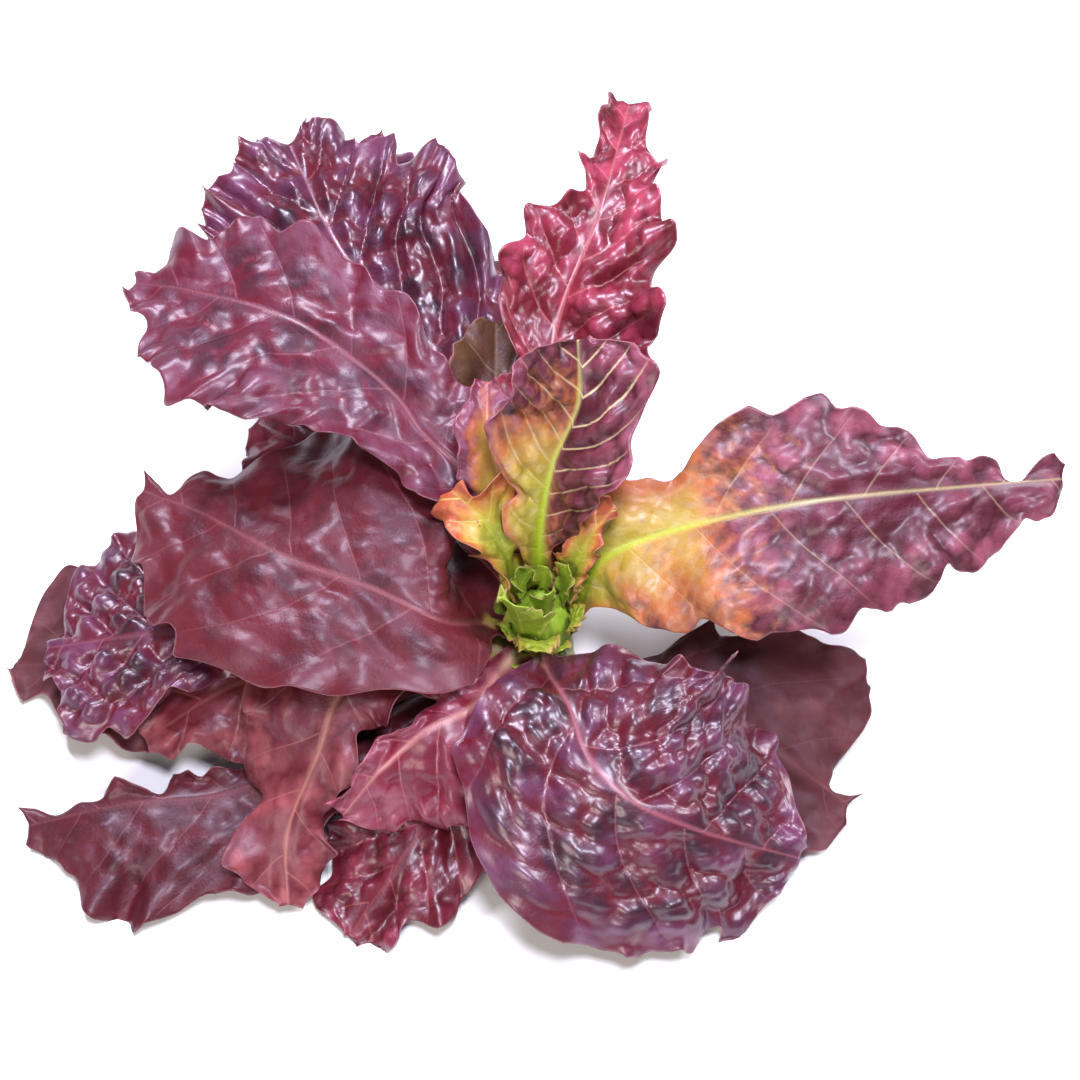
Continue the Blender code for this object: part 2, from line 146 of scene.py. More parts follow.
# %% [markdown]
# ## The leaves, from the outside in
# On the plant the oldest leaves sit lowest on the stem and the youngest highest. The table keeps
# that order, because each leaf is later laid on those before it, as they lie in a real head.

# %% The leaf table
LEAVES = [
    Leaf("leaf_left_outermost", "brown", 8, 180, 18,
         ((90, 185, 25), (168, 183, 22), (230, 180, 3)),
         (12, 22, 32, 38, 34, 16), (12, 24, 36, 49, 62, 40), (5, -4), (5, -4)),
    Leaf("leaf_right_low", "brown", 8, 335, 18,
         ((52, 328, 30), (100, 332, 30), (148, 332, 8)),
         (17, 36, 46, 60, 50, 12), (12, 26, 38, 42, 36, 30), (5, 0), (0, -8), rows=13),
    Leaf("leaf_back_low", "brown", 8, 95, 22,
         ((75, 97, 36), (140, 96, 34), (216, 95, 4)),
         (10, 20, 28, 30, 27, 16), (10, 20, 28, 30, 27, 16), (5, 0), (5, 0)),
    Leaf("leaf_front_curled", "crimson", 8, 245, 15,
         ((65, 239, 28), (106, 240, 20), (150, 238, 3)),
         (13, 26, 34, 32, 26, 16), (12, 24, 32, 34, 31, 20), (0, -8), (0, -8),
         ruffle=6.0, rows=13),
    Leaf("leaf_front_left_folded", "maroon", 14, 206, 10,
         ((81, 211, 24), (148, 208, 20), (187, 203, 18), (230, 200, 7)),
         (11, 24, 34, 46, 52, 24), (8, 10, 12, 12, 8, 5), (-6, -12), (0, 0), curl=(-6, 0)),
    Leaf("leaf_back_hidden", "purple", 14, 108, 25,
         ((99, 108, 44), (183, 108, 50), (261, 107, 56)),
         (10, 22, 34, 39, 35, 24), (10, 22, 32, 36, 30, 10), (5, 5), (5, 5)),
    Leaf("leaf_left_back_crimson", "crimson", 18, 150, 22,
         ((68, 136, 38), (115, 138, 42), (165, 140, 34)),
         (12, 24, 34, 38, 34, 18), (12, 24, 34, 37, 32, 20), (5, 0), (5, 0), rows=13),
    Leaf("leaf_left_turned_edge", "red", 20, 198, 22,
         ((81, 192, 40), (128, 192, 34), (172, 195, 12)),
         (12, 24, 34, 36, 28, 14), (12, 24, 33, 39, 42, 26), (0, -16), (5, -5), curl=(-30, -10),
         rows=13),
    Leaf("leaf_left_blistered", "purple", 27, 184, 20,
         ((102, 187, 50), (157, 183, 48), (212, 181, 26)),
         (9, 13, 16, 24, 44, 30), (12, 26, 38, 48, 58, 36), (5, -8), (10, -5), curl=(-12, -8)),
    Leaf("leaf_back_left_broad", "purple", 23, 116, 30,
         ((94, 108, 62), (157, 113, 64), (193, 117, 70), (263, 116, 66)),
         (12, 27, 42, 52, 48, 26), (13, 25, 55, 66, 44, 24), (10, 10), (15, 10), curl=(0, -10),
         sweep=(0.3, 0.9), tip=14.0, rows=15),
    Leaf("leaf_back_olive", "olive", 28, 100, 58,
         ((49, 108, 88), (80, 103, 106), (108, 100, 112)),
         (8, 12, 17, 24, 25, 14), (8, 12, 15, 15, 13, 9), (25, 20), (20, 15), curl=(10, 10),
         rows=11),
    Leaf("leaf_front_left_smooth", "red", 32, 208, 38,
         ((52, 209, 62), (91, 207, 60), (112, 215, 46), (139, 221, 24), (156, 228, 9)),
         (13, 18, 20, 16, 14, 18), (13, 29, 37, 35, 22, 20), (5, -8), (10, -8),
         curl=(-12, -12)),
    Leaf("leaf_front_hanging", "lilac", 38, 236, 26,
         ((58, 240, 60), (76, 232, 60), (98, 228, 49), (118, 226, 30)),
         (18, 45, 47, 43, 36, 16), (8, 12, 12, 9, 8, 12), (-28, -40), (-5, -10), curl=(-15, 0),
         rows=12),
    Leaf("leaf_front_right_broad", "purple", 44, 276, 24,
         ((51, 283, 62), (77, 285, 63), (98, 292, 59), (119, 304, 45), (146, 318, 16)),
         (24, 50, 72, 66, 56, 36), (26, 58, 66, 58, 46, 28), (10, 6), (-12, -38),
         curl=(0, -15), sweep=(-0.6, 0.3), foot=6.5, rows=18, clasp=12.0, ease=900),
    Leaf("leaf_right_long", "green_purple", 34, 30, 60,
         ((30, 28, 72), (53, 21, 84), (110, 13, 100), (178, 11, 98), (223, 11, 90)),
         (26, 24, 42, 36, 16, 6), (30, 44, 54, 48, 36, 20), (30, 20), (-10, -22),
         curl=(10, -26), sweep=(0.0, 0.3), reach=10.0, ruffle=4.0, rows=17),
    Leaf("leaf_left_broad", "maroon", 44, 197, 45,
         ((46, 206, 82), (70, 187, 88), (104, 177, 88), (148, 166, 74), (178, 163, 64)),
         (12, 36, 54, 53, 47, 25), (30, 56, 66, 70, 34, 12), (0, -12), (25, 0),
         curl=(-18, -12), sweep=(-0.7, 0.4), ruffle=4.0, foot=7.0, rows=15, ease=150),
    Leaf("leaf_left_back_two_tone", "two_tone", 35, 126, 58,
         ((43, 127, 86), (72, 132, 102), (91, 131, 110), (142, 135, 120), (196, 140, 108),
          (222, 142, 98)),
         (17, 20, 36, 56, 50, 24), (12, 24, 28, 36, 38, 22), (5, 5), (20, 15), curl=(-10, 0)),
    Leaf("leaf_back_tall", "crimson", 41, 84, 60,
         ((50, 88, 106), (92, 86, 130), (136, 80, 148), (200, 79, 146)),
         (13, 17, 20, 31, 12, 12), (13, 34, 46, 38, 24, 14), (25, 20), (25, 15),
         curl=(0, -10), ruffle=7.0, lobe=5.0, rows=15),
    Leaf("leaf_inner_back_left", "two_tone", 46, 122, 68,
         ((29, 122, 102), (48, 116, 126), (66, 109, 134)),
         (8, 12, 14, 15, 14, 9), (7, 9, 9, 8, 8, 8), (20, 10), (20, 15), ruffle=4.0, lobe=2.5,
         foot=5.5, rib=3.0, reach=9.0, rows=10),
    Leaf("leaf_inner_orange_edge", "green", 46, 30, 80,
         ((18, 30, 80), (27, 34, 94), (39, 37, 100)),
         (4, 7, 9, 9, 7, 5), (5, 7, 6, 6, 6, 4), (8, 20), (10, 0), ruffle=2.5, lobe=2.0,
         foot=4.0, rib=2.0, reach=5.0, tip=3.0, rows=8),
    Leaf("leaf_inner_frilled", "green", 56, 150, 62,
         ((19, 150, 86), (31, 149, 104), (45, 147, 110)),
         (6, 9, 10, 12, 14, 9), (4, 8, 14, 16, 15, 9), (20, 0), (25, 10), curl=(-15, 0),
         ruffle=4.0, lobe=2.5, foot=3.5, rib=2.6, reach=7.0, rows=9),
    Leaf("leaf_inner_upright", "green_purple", 55, 92, 78,
         ((17, 89, 88), (29, 79, 126), (45, 70, 150), (62, 76, 168)),
         (6, 13, 21, 29, 32, 28), (6, 14, 28, 32, 30, 24), (35, 35), (25, 15), ruffle=4.0,
         foot=6.5, rib=4.0, reach=8.0, rows=13),
]

print(len(LEAVES), "open leaves, with midribs through", sum(len(leaf.path) for leaf in LEAVES), "points")

# %% [markdown]
# ## The heart
# The youngest leaves stand in nested cones round the growing tip. Each one stands a golden angle of
# turn after the last and is smaller, so a short rule writes them, and they need no table.

# %% The heart leaves
HEART_ROOTS = (50.0, 56.6, 59.2, 61.8, 64.4)
HEART_SIZES = (1.4, 0.8, 0.72, 0.64, 0.52)
HEART_FIRST_BEARING = 240.0
GOLDEN_ANGLE = 137.5
HEART_LENGTH = 31.0
HEART_HALF_WIDTH = 9.5
HEART_SPREAD = 4.0


def heart_leaves():
    leaves = []
    for i, (root, size) in enumerate(zip(HEART_ROOTS, HEART_SIZES)):
        bearing = (HEART_FIRST_BEARING + GOLDEN_ANGLE * i) % 360
        out = float(stem_radius(root))
        length = HEART_LENGTH * size
        spread = HEART_SPREAD * size**2
        wide = HEART_HALF_WIDTH * size
        half = tuple(wide * share for share in (0.5, 0.8, 1.0, 1.0, 0.85, 0.5))
        path = (
            (out + 1.2 + 0.4 * spread, bearing, root + 0.5 * length),
            (out + 1.2 + spread, bearing, root + 0.95 * length),
        )
        leaves.append(
            Leaf(f"heart_leaf_{i + 1}", "green", root, bearing, 80, path, half, half, (0, 0),
                 (0, 0), ruffle=0.8 * size, lobe=1.6, foot=4.0 * size, tip=3.0 * size,
                 rib=1.6, reach=4.0, rows=6, clasp=200.0)
        )
    return leaves


print(len(HEART_ROOTS), "heart leaves, from", HEART_ROOTS[0], "to", HEART_ROOTS[-1], "mm up the stem")

# %% [markdown]
# ## How each leaf is finished
# No two leaves of the head look alike. The outer ones are smooth and dull, the broad ones blistered
# and waxy, and the inner ones still green at the foot. One finish for all would be shorter, but the
# head would look stamped, so a second table says it leaf by leaf.

# %% The finish of every leaf
FINISHES = {
    "leaf_left_outermost": Finish(0.4, 0.8, 1.0, rib=0.3, heat=0.2, fine=0.8),
    "leaf_right_low": Finish(0.3, 0.7, 1.5, rib=0.3, pitch=30.0, vein=0.2, heat=0.3),
    "leaf_back_low": Finish(0.5, 0.8, 1.0, rib=0.4, heat=0.3, fine=0.7),
    "leaf_front_curled": Finish(1.0, 1.5, 0.8, warm=0.4, rib=0.3, pitch=16.0, shade=0.36),
    "leaf_front_left_folded": Finish(0.6, 1.2, 0.9, warm=0.5, rib=0.6, heat=0.9, shade=0.4),
    "leaf_back_hidden": Finish(0.8, 0.9, 1.0, rib=0.3, fine=0.8),
    "leaf_left_back_crimson": Finish(0.8, 1.4, 1.4, rib=0.3),
    "leaf_left_turned_edge": Finish(0.6, 1.0, 1.0, warm=0.2, rib=0.4),
    "leaf_left_blistered": Finish(1.7, 1.3, 1.0, rib=0.4, pitch=17.0, pleat=1.3, heat=0.2),
    "leaf_back_left_broad": Finish(
        1.2, 2.0, 1.1, rib=0.5, rib_wide=1.2, pitch=23.0, pleat=2.4, heat=0.1
    ),
    "leaf_back_olive": Finish(0.3, 0.8, 0.8, 0.3, 0.1, 0.5, warm=0.6, rib=0.5, heat=0.2),
    "leaf_front_left_smooth": Finish(0.25, 0.9, 0.9, warm=0.3, rib=1.0, rib_wide=2.6),
    "leaf_front_hanging": Finish(
        0.8, 1.2, 1.1, -0.05, -0.05, 0.2, warm=0.3, rib=1.0, rib_wide=2.6, pitch=18.0
    ),
    "leaf_front_right_broad": Finish(
        1.35, 1.5, 1.0, -0.1, -0.1, rib=0.8, rib_wide=0.8, pitch=27.0, pleat=1.3, heat=1.2
    ),
    "leaf_right_long": Finish(
        0.5, 0.7, 0.8, 0.12, 0.06, 0.7, 0.1, warm=1.15, rib=0.7, rib_wide=1.8, pitch=26.0,
        vein=0.2, heat=0.0,
    ),
    "leaf_left_broad": Finish(
        0.38, 0.9, 0.6, -0.05, -0.05, 0.15, rib=0.55, rib_wide=1.2, pitch=27.0, vein=0.3,
        heat=0.3, shade=0.16,
    ),
    "leaf_left_back_two_tone": Finish(
        0.42, 0.9, 0.6, 0.1, 0.08, 0.15, warm=0.4, rib=0.5, rib_wide=0.9, pitch=25.0, vein=0.25,
        heat=0.7, shade=0.32,
    ),
    "leaf_back_tall": Finish(1.1, 1.9, 0.4, 0.02, 0.02, 0.2, warm=0.3, rib=0.5, rib_wide=1.4, pitch=15.0),
    "leaf_inner_back_left": Finish(
        0.8, 2.0, 1.2, 0.6, 0.55, 0.6, 0.5, warm=1.0, rib=0.6, pitch=14.0
    ),
    "leaf_inner_orange_edge": Finish(
        0.6, 2.4, 1.8, 0.5, 0.5, 0.8, 0.5, warm=1.0, rib=0.5, pitch=11.0, vein=0.6
    ),
    "leaf_inner_frilled": Finish(
        0.7, 2.4, 1.8, 0.5, 0.5, 0.8, 0.45, warm=1.0, rib=0.5, pitch=11.0, vein=0.6
    ),
    "leaf_inner_upright": Finish(
        1.0, 1.0, 1.0, 0.42, 0.02, 0.8, 0.3, warm=1.0, rib=1.0, rib_wide=3.4, pitch=10.0,
        pleat=1.6, vein=0.8, heat=1.0,
    ),
}
HEART_FINISH = Finish(0.8, 5.0, 2.6, 1.5, 1.5, 0.5, 0.1, warm=0.2, rib=0.6, pitch=9.0, vein=0.6)

print(len(FINISHES), "finishes, and one for the heart")

# %% [markdown]
# ## From numbers to a curved blade
# Each midrib is a smooth curve through a few points. The blade could be lofted by a modifier, but
# plain arithmetic keeps it exact: for a place `u` along the leaf and `v` across it, the functions
# give a point in space, so the same leaf can be made coarse or as fine as its frills need.

# %% The midrib
def smooth(t):
    """0 below 0, 1 above 1, and an S-shaped rise between."""
    t = np.clip(t, 0, 1)
    return t * t * (3 - 2 * t)


def stem_radius(height):
    return np.interp(height, STEM_HEIGHTS, STEM_RADII)


def from_polar(distance, bearing, height):
    angle = np.radians(bearing)
    return np.array([distance * np.cos(angle), distance * np.sin(angle), height])


def path_points(leaf):
    start = from_polar(stem_radius(leaf.root) + GAP, leaf.bearing, leaf.root)
    rise = np.radians(leaf.rise)
    out = from_polar(leaf.reach * np.cos(rise), leaf.bearing, leaf.reach * np.sin(rise))
    return np.array([start, start + out] + [from_polar(*point) for point in leaf.path])


def catmull_rom(points, samples=40):
    """A smooth curve through the points, by centripetal Catmull-Rom, which never loops."""
    ends = np.vstack([2 * points[0] - points[1], points, 2 * points[-1] - points[-2]])
    pieces = []
    for p0, p1, p2, p3 in zip(ends, ends[1:], ends[2:], ends[3:]):
        t1 = np.linalg.norm(p1 - p0) ** 0.5
        t2 = t1 + np.linalg.norm(p2 - p1) ** 0.5
        t3 = t2 + np.linalg.norm(p3 - p2) ** 0.5
        t = np.linspace(t1, t2, samples, endpoint=False)[:, None]
        a1 = ((t1 - t) * p0 + t * p1) / t1
        a2 = ((t2 - t) * p1 + (t - t1) * p2) / (t2 - t1)
        a3 = ((t3 - t) * p2 + (t - t2) * p3) / (t3 - t2)
        b1 = ((t2 - t) * a1 + t * a2) / t2
        b2 = ((t3 - t) * a2 + (t - t1) * a3) / (t3 - t1)
        pieces.append(((t2 - t) * b1 + (t - t1) * b2) / (t2 - t1))
    return np.vstack(pieces + [points[-1:]])


def midrib(leaf):
    """Distances along the midrib, its points and directions, run on straight past the tip."""
    curve = catmull_rom(path_points(leaf))
    along = np.append(0, np.cumsum(np.linalg.norm(np.diff(curve, axis=0), axis=1)))
    length = along[-1]
    even = np.linspace(0, length, 160)
    curve = np.stack([np.interp(even, along, curve[:, k]) for k in range(3)], -1)
    ways = np.gradient(curve, even, axis=0)
    for _ in range(leaf.ease):
        ways[1:-1] = (ways[:-2] + 2 * ways[1:-1] + ways[2:]) / 4
    ways /= np.linalg.norm(ways, axis=1, keepdims=True)
    past = np.linspace(0, 0.5 * length, 30)[1:, None]
    curve = np.vstack([curve, curve[-1] + ways[-1] * past])
    ways = np.vstack([ways, np.repeat(ways[-1:], len(past), 0)])
    return np.append(even, length + past), curve, ways, length


print("longest midrib:", round(max(midrib(leaf)[3] for leaf in LEAVES)), "mm")

# %% [markdown]
# The blade's width is a smooth line through six half-widths on each side. Its margin waves up and
# down, and in and out, on two unequal pitches each, so that no stretch of it looks repeated.

# %% The widths and the waves of the margin
def half_width(leaf, u, widths):
    """A smooth line through the half-widths, from the clasping foot to the tip."""
    at = np.array((-0.12, 0.0, 0.05) + STATIONS + (1.0, 1.12))
    wide = np.array((leaf.foot, leaf.foot, 0.8 * leaf.foot) + tuple(widths) + (leaf.tip, 0.0))
    slope = np.gradient(wide, at)
    i = np.clip(np.searchsorted(at, u, side="right") - 1, 0, len(at) - 2)
    step = at[i + 1] - at[i]
    t = (u - at[i]) / step
    line = (2 * t**3 - 3 * t**2 + 1) * wide[i] + (t**3 - 2 * t**2 + t) * step * slope[i]
    line += (3 * t**2 - 2 * t**3) * wide[i + 1] + (t**3 - t**2) * step * slope[i + 1]
    return np.maximum(line, 1.5)


def margin_waves(leaf, seed, length, u, right):
    """How far the margin waves up and down, and in and out, on the left or the right half."""
    draw = random.Random(2 * seed + right)
    x = length * u
    waves = []
    for pitches in (RUFFLE_PITCHES, LOBE_PITCHES):
        long, short = (np.sin(2 * np.pi * (x / pitch + draw.random())) for pitch in pitches)
        waves.append(0.65 * long + 0.35 * short)
    grown = smooth((u - 0.1) / 0.25)
    return leaf.ruffle * waves[0] * grown, leaf.lobe * waves[1] * grown


middle = half_width(LEAVES[0], np.array([0.5]), LEAVES[0].left)
print("half-width at the middle of the first leaf:", round(float(middle[0]), 1), "mm")


# %% [markdown]
# A real margin is cut into small teeth and gathered into frills, because the edge of the blade
# grows faster than its middle. Both are waves with uneven steps, drawn from a seeded list, so that
# no two stretches of the edge are alike and every run gives the same leaf.

# %% Teeth and frills
TOOTH_PITCHES = (27.0, 10.0)
TOOTH_DEPTHS = (6.0, 1.4)
FRILL_PITCHES = (24.0, 13.0)
FRILL_HEIGHTS = (3.0, 1.2)


def uneven(x, pitch, seed):
    """Smooth seeded noise from -1 to 1, one value for each pitch of x."""
    values = np.random.default_rng(seed).uniform(-1, 1, 400)
    at = x / pitch + 40
    i = np.clip(np.floor(at).astype(int), 0, 398)
    return values[i] + (values[i + 1] - values[i]) * smooth(at - i)


def teeth(x, seed):
    """Pointed teeth that lean towards the tip, and how far each stands out."""
    out = 0.0
    for k, (pitch, depth) in enumerate(zip(TOOTH_PITCHES, TOOTH_DEPTHS)):
        at = x / pitch + 0.35 * uneven(x, 2.3 * pitch, seed + 7 * k)
        saw = at - np.floor(at)
        point = np.where(saw < 0.64, saw / 0.64, (1 - saw) / 0.36) ** 1.4
        out = out + depth * (point - 0.4) * (0.55 + 0.55 * uneven(x, 1.6 * pitch, seed + 11 + k))
    return out


def frills(x, seed):
    out = 0.0
    for k, (pitch, height) in enumerate(zip(FRILL_PITCHES, FRILL_HEIGHTS)):
        phase = x / pitch + 0.45 * uneven(x, 1.7 * pitch, seed + 17 * k)
        out = out + height * np.sin(2 * np.pi * phase) * (0.7 + 0.5 * uneven(x, 41.0, seed + 5))
    return out


def growth(leaf):
    """Small leaves have smaller waves, teeth and blisters."""
    return min(1.0, leaf.ruffle / 4.0)


def fine_margin(leaf, finish, seed, length, u, right):
    """The big waves of the margin with its frills and teeth added."""
    ruffle, lobe = margin_waves(leaf, seed, length, u, right)
    grown = smooth((u - 0.06) / 0.2)
    size = growth(leaf)
    x = length * u / max(size, 0.45)
    key = 100 * seed + 31 * right
    return (
        ruffle,
        size * finish.frill * frills(x, key) * grown,
        lobe + size * finish.tooth * teeth(x, key + 50) * grown,
    )


print("longest tooth:", round(float(teeth(np.arange(0.0, 400.0), 1).max()), 1), "mm")


# %% [markdown]
# The surface itself: every row leans forward like the side veins, each half tilts and curls on
# its own, and at the foot the rows bend round the stem that they clasp.

# %% The surface of a leaf
BIG_WAVE_POWER = 2.2
FRILL_POWER = 4.5


def leaf_surface(leaf, finish, seed, u, v):
    """The upper face, with how far along and across it each point lies, in millimetres."""
    along, curve, ways, length = midrib(leaf)
    right = v < 0
    a = np.abs(v)
    if finish is None:
        ruffle_l, lobe_l = margin_waves(leaf, seed, length, u, 0)
        ruffle_r, lobe_r = margin_waves(leaf, seed, length, u, 1)
        frill_l = frill_r = 0.0
    else:
        ruffle_l, frill_l, lobe_l = fine_margin(leaf, finish, seed, length, u, 0)
        ruffle_r, frill_r, lobe_r = fine_margin(leaf, finish, seed, length, u, 1)
    ruffle = np.where(right, ruffle_r, ruffle_l) * a**BIG_WAVE_POWER
    ruffle = ruffle + np.where(right, frill_r, frill_l) * a**FRILL_POWER
    width = np.where(
        right, half_width(leaf, u, leaf.right) + lobe_r, half_width(leaf, u, leaf.left) + lobe_l
    )
    width = np.maximum(width, 1.5)

    lead = leaf.sweep[0] + (leaf.sweep[1] - leaf.sweep[0]) * smooth(u / 0.6)
    x = length * u + lead * width * a**1.5 * smooth(u / 0.1)
    x = np.maximum(x, 0.2 * length * u)
    place = np.stack([np.interp(x, along, curve[:, k]) for k in range(3)], -1)
    way = np.stack([np.interp(x, along, ways[:, k]) for k in range(3)], -1)
    way /= np.linalg.norm(way, axis=-1, keepdims=True)
    side = np.stack([-way[..., 1], way[..., 0], 0 * x], -1)
    side /= np.linalg.norm(side, axis=-1, keepdims=True)
    up = np.cross(way, side)

    def slopes(lean, curl):
        slope = np.radians(lean[0] + (lean[1] - lean[0]) * smooth(1.2 * u)) * smooth(u / 0.12)
        return slope, np.radians(curl) * smooth(u / 0.25)

    slope_l, curl_l = slopes(leaf.lean_left, leaf.curl[0])
    slope_r, curl_r = slopes(leaf.lean_right, leaf.curl[1])
    slope = np.where(right, slope_r, slope_l)
    curl = np.where(right, curl_r, curl_l)
    steps = (np.arange(8) + 0.5) / 8
    angle = slope[..., None] + curl[..., None] * (a[..., None] * steps) ** 2
    across = np.sign(v) * a * width * np.cos(angle).mean(-1)
    lift = a * width * np.sin(angle).mean(-1) + ruffle

    circle = stem_radius(leaf.root) + GAP
    clasp = 1 - smooth(x / leaf.clasp)
    turn = np.clip(across / circle, -1.5, 1.5)
    back = clasp * circle * (1 - np.cos(turn))
    across = across * (1 - clasp) + circle * np.sin(turn) * clasp
    outward = way * (1, 1, 0)
    outward /= np.linalg.norm(outward, axis=-1, keepdims=True)
    points = place + side * across[..., None] + up * lift[..., None] - outward * back[..., None]
    return points, length * u, np.sign(v) * a * width, width


tip = leaf_surface(LEAVES[0], None, 0, np.ones((1, 1)), np.zeros((1, 1)))[0]
print("tip of the first leaf:", tip.round(1).ravel().tolist(), "mm")


# %% [markdown]
# ## Laying the leaves on one another
# In a head, each leaf rests on the ones outside it. A cloth simulation could find that, but it
# would move the leaves away from the frame. Instead each leaf is made coarse, tested with rays
# against the leaves below, and lifted along its own facing direction until it lies clear. The
# frame's solids were laid in the same way, so the fine blades end up on them.

# %% Coarse grids and the lift
def rib_share(leaf, u):
    """How much of the narrower half the midrib takes up."""
    width = np.minimum(half_width(leaf, u, leaf.left), half_width(leaf, u, leaf.right))
    return np.clip(RIB_HALF_WIDTH * (1 - 0.6 * u) / width, 0.06, 0.45)


def leaf_grid(leaf):
    """Rows along the leaf, crowded at its foot, and columns that keep the midrib narrow."""
    u = np.linspace(0, 1, leaf.rows + 1) ** ROW_CROWDING
    rib = rib_share(leaf, u)[:, None]
    out = rib + (1 - rib) * np.array([0, 1 / 3, 2 / 3, 1])
    v = np.hstack([-out[:, ::-1], 0 * rib, out])
    return np.repeat(u[:, None], v.shape[1], 1), v


def thickness(leaf, u, v):
    """The blade's thickness, with the midrib swelling its underside towards the foot."""
    width = np.where(v < 0, half_width(leaf, u, leaf.right), half_width(leaf, u, leaf.left))
    spread = RIB_HALF_WIDTH * (1 - 0.6 * u)
    swell = (leaf.rib - BLADE) * (1 - u) ** 1.3
    return BLADE + swell * np.exp(-((v * width / spread) ** 2) * 1.4)


def grid_faces(rows, columns):
    """Triangles over a grid of points, facing the upper side."""
    corners = [i * columns + j for i in range(rows - 1) for j in range(columns - 1)]
    halves = [((a, a + columns, a + columns + 1), (a, a + columns + 1, a + 1)) for a in corners]
    return [face for pair in halves for face in pair]


def tree_of(points):
    corners = [Vector(point) for point in points.reshape(-1, 3)]
    return BVHTree.FromPolygons(corners, grid_faces(*points.shape[:2]))


print("coarse grid of the first leaf:", leaf_grid(LEAVES[0])[0].shape)

# %% [markdown]
# A leaf is raised cell by cell, by as much as each cell needs, and the lift is then spread over the
# leaf, because a blade is stiff enough to bridge small bumps. Only the leaves whose boxes meet are
# tested, which spares most of the rays.

# %% Settling a leaf
def facings(points):
    """The way each point of a grid faces, longer where its cells are larger."""
    return np.cross(np.gradient(points, axis=0), np.gradient(points, axis=1))


def laying_direction(points):
    """The way a leaf faces on average: it is laid on the others along this direction."""
    facing = facings(points).reshape(-1, 3).sum(0)
    facing = facing / np.linalg.norm(facing) + (0, 0, UPWARD)
    return Vector(facing / np.linalg.norm(facing))


def span(points, margin=0.0):
    return points.min((0, 1)) - margin, points.max((0, 1)) + margin


def those_near(entries, crease_shade_and_crimson, high):
    """The entries whose last value, their box, reaches between low and high."""
    return [
        entry[:-1] for entry in entries if (entry[-1][0] < high).all() and (entry[-1][1] > crease_shade_and_crimson).all()
    ]


def mean_of_neighbours(values):
    wide = np.pad(values, 1, mode="edge")
    return (wide[:-2, 1:-1] + wide[2:, 1:-1] + wide[1:-1, :-2] + wide[1:-1, 2:]) / 4


def spread_lift(lift):
    """Eases a lift out over the leaf, never below what each point needs, and never at the foot."""
    eased = lift.copy()
    for _ in range(EASE_STEPS):
        eased = np.maximum(lift, mean_of_neighbours(eased))
        eased[0] = 0.0
    return eased


def samples_of(points):
    """Places to test on a leaf: each corner, and points within each triangle, with their cells."""
    rows, columns = points.shape[:2]
    flat = points.reshape(-1, 3)
    found = [(Vector(point), (divmod(k, columns),)) for k, point in enumerate(flat)]
    for face in grid_faces(rows, columns):
        ends = tuple(divmod(k, columns) for k in face)
        found += [(Vector(mix @ flat[list(face)]), ends) for mix in MIXES]
    return found


def settle(points, space, laid):
    """Lifts a leaf along its way until it lies clear of the leaves already laid."""
    way = laying_direction(points)
    rows, columns = points.shape[:2]
    faces = grid_faces(rows, columns)
    spine = points[:, columns // 2]
    reach = 0.5 * float(np.linalg.norm(np.diff(spine, axis=0), axis=1).sum())
    near = those_near(laid, *span(points, reach))
    need = np.zeros((rows, columns))
    lift = need.copy()

    def raise_cells(ends, short, normal):
        facing = abs(normal.dot(way))
        if facing < EDGE_ON or min(k[0] for k in ends) < 1:
            return
        short += max(space[k] for k in ends) / max(facing, STEEPEST)
        for k in ends:
            if short > 0:
                need[k] = max(need[k], lift[k] + short)

    for _ in range(SETTLE_STEPS):
        raised = points + lift[..., None] * np.array(way)
        for point, ends in samples_of(raised):
            for tree, _ in near:
                hit, normal, _, _ = tree.ray_cast(point + reach * way, -way, 2 * reach)
                if hit is not None:
                    raise_cells(ends, (hit - point).dot(way), normal)
        own = tree_of(raised)
        for _, samples in near:
            for point, _ in samples:
                hit, normal, index, _ = own.ray_cast(point + reach * way, -way, 2 * reach)
                if hit is not None:
                    ends = [divmod(k, columns) for k in faces[index]]
                    raise_cells(ends, (point - hit).dot(way), normal)
        before, lift = lift, spread_lift(need)
        if np.abs(lift - before).max() < SETTLED:
            break
    return lift[..., None] * np.array(way)


def keep_off_stem(points):
    """Moves points that a lift has brought against the stem back out to its side."""
    away = np.hypot(points[..., 0], points[..., 1])
    least = np.where(points[..., 2] < STEM_TOP, stem_radius(points[..., 2]) + GAP, 0.0)
    share = np.where(away < least, least / np.maximum(away, 0.1), 1.0)
    return points * np.stack([share, share, np.ones_like(share)], -1)


first = leaf_surface(LEAVES[0], None, 0, *leaf_grid(LEAVES[0]))[0]
print("the first leaf is laid along", [round(value, 2) for value in laying_direction(first)])

# %% [markdown]
# The coarse grid has only a few rows, so its lift is read between them on a smooth curve. A straight
# reading would leave a crease along each row, which a real blade hasn't.

# %% The lift of every leaf
def cubic(values, at):
    """Rows of values read at places between them, on a smooth curve."""
    last = len(values) - 1
    i = np.clip(np.floor(at).astype(int), 0, last - 1)
    t = (at - i).reshape((-1,) + (1,) * (values.ndim - 1))
    p0, p1 = values[np.maximum(i - 1, 0)], values[i]
    p2, p3 = values[i + 1], values[np.minimum(i + 2, last)]
    bend = (3 * p1 - 3 * p2 + p3 - p0) * t**3 + (2 * p0 - 5 * p1 + 4 * p2 - p3) * t**2
    return p1 + 0.5 * ((p2 - p0) * t + bend)


def fine_lift(leaf, lift, u, v):
    """The coarse lift, read on the fine grid: first along the leaf, then across it."""
    rows = cubic(lift, u[:, 0] ** (1 / ROW_CROWDING) * leaf.rows)
    rib = rib_share(leaf, u)
    a = np.abs(v)
    step = np.where(a < rib, a / rib, 1 + 3 * (a - rib) / (1 - rib))
    at = np.clip(4 + np.sign(v) * step, 0, 8)
    return np.array([cubic(rows[i], at[i]) for i in range(len(at))])


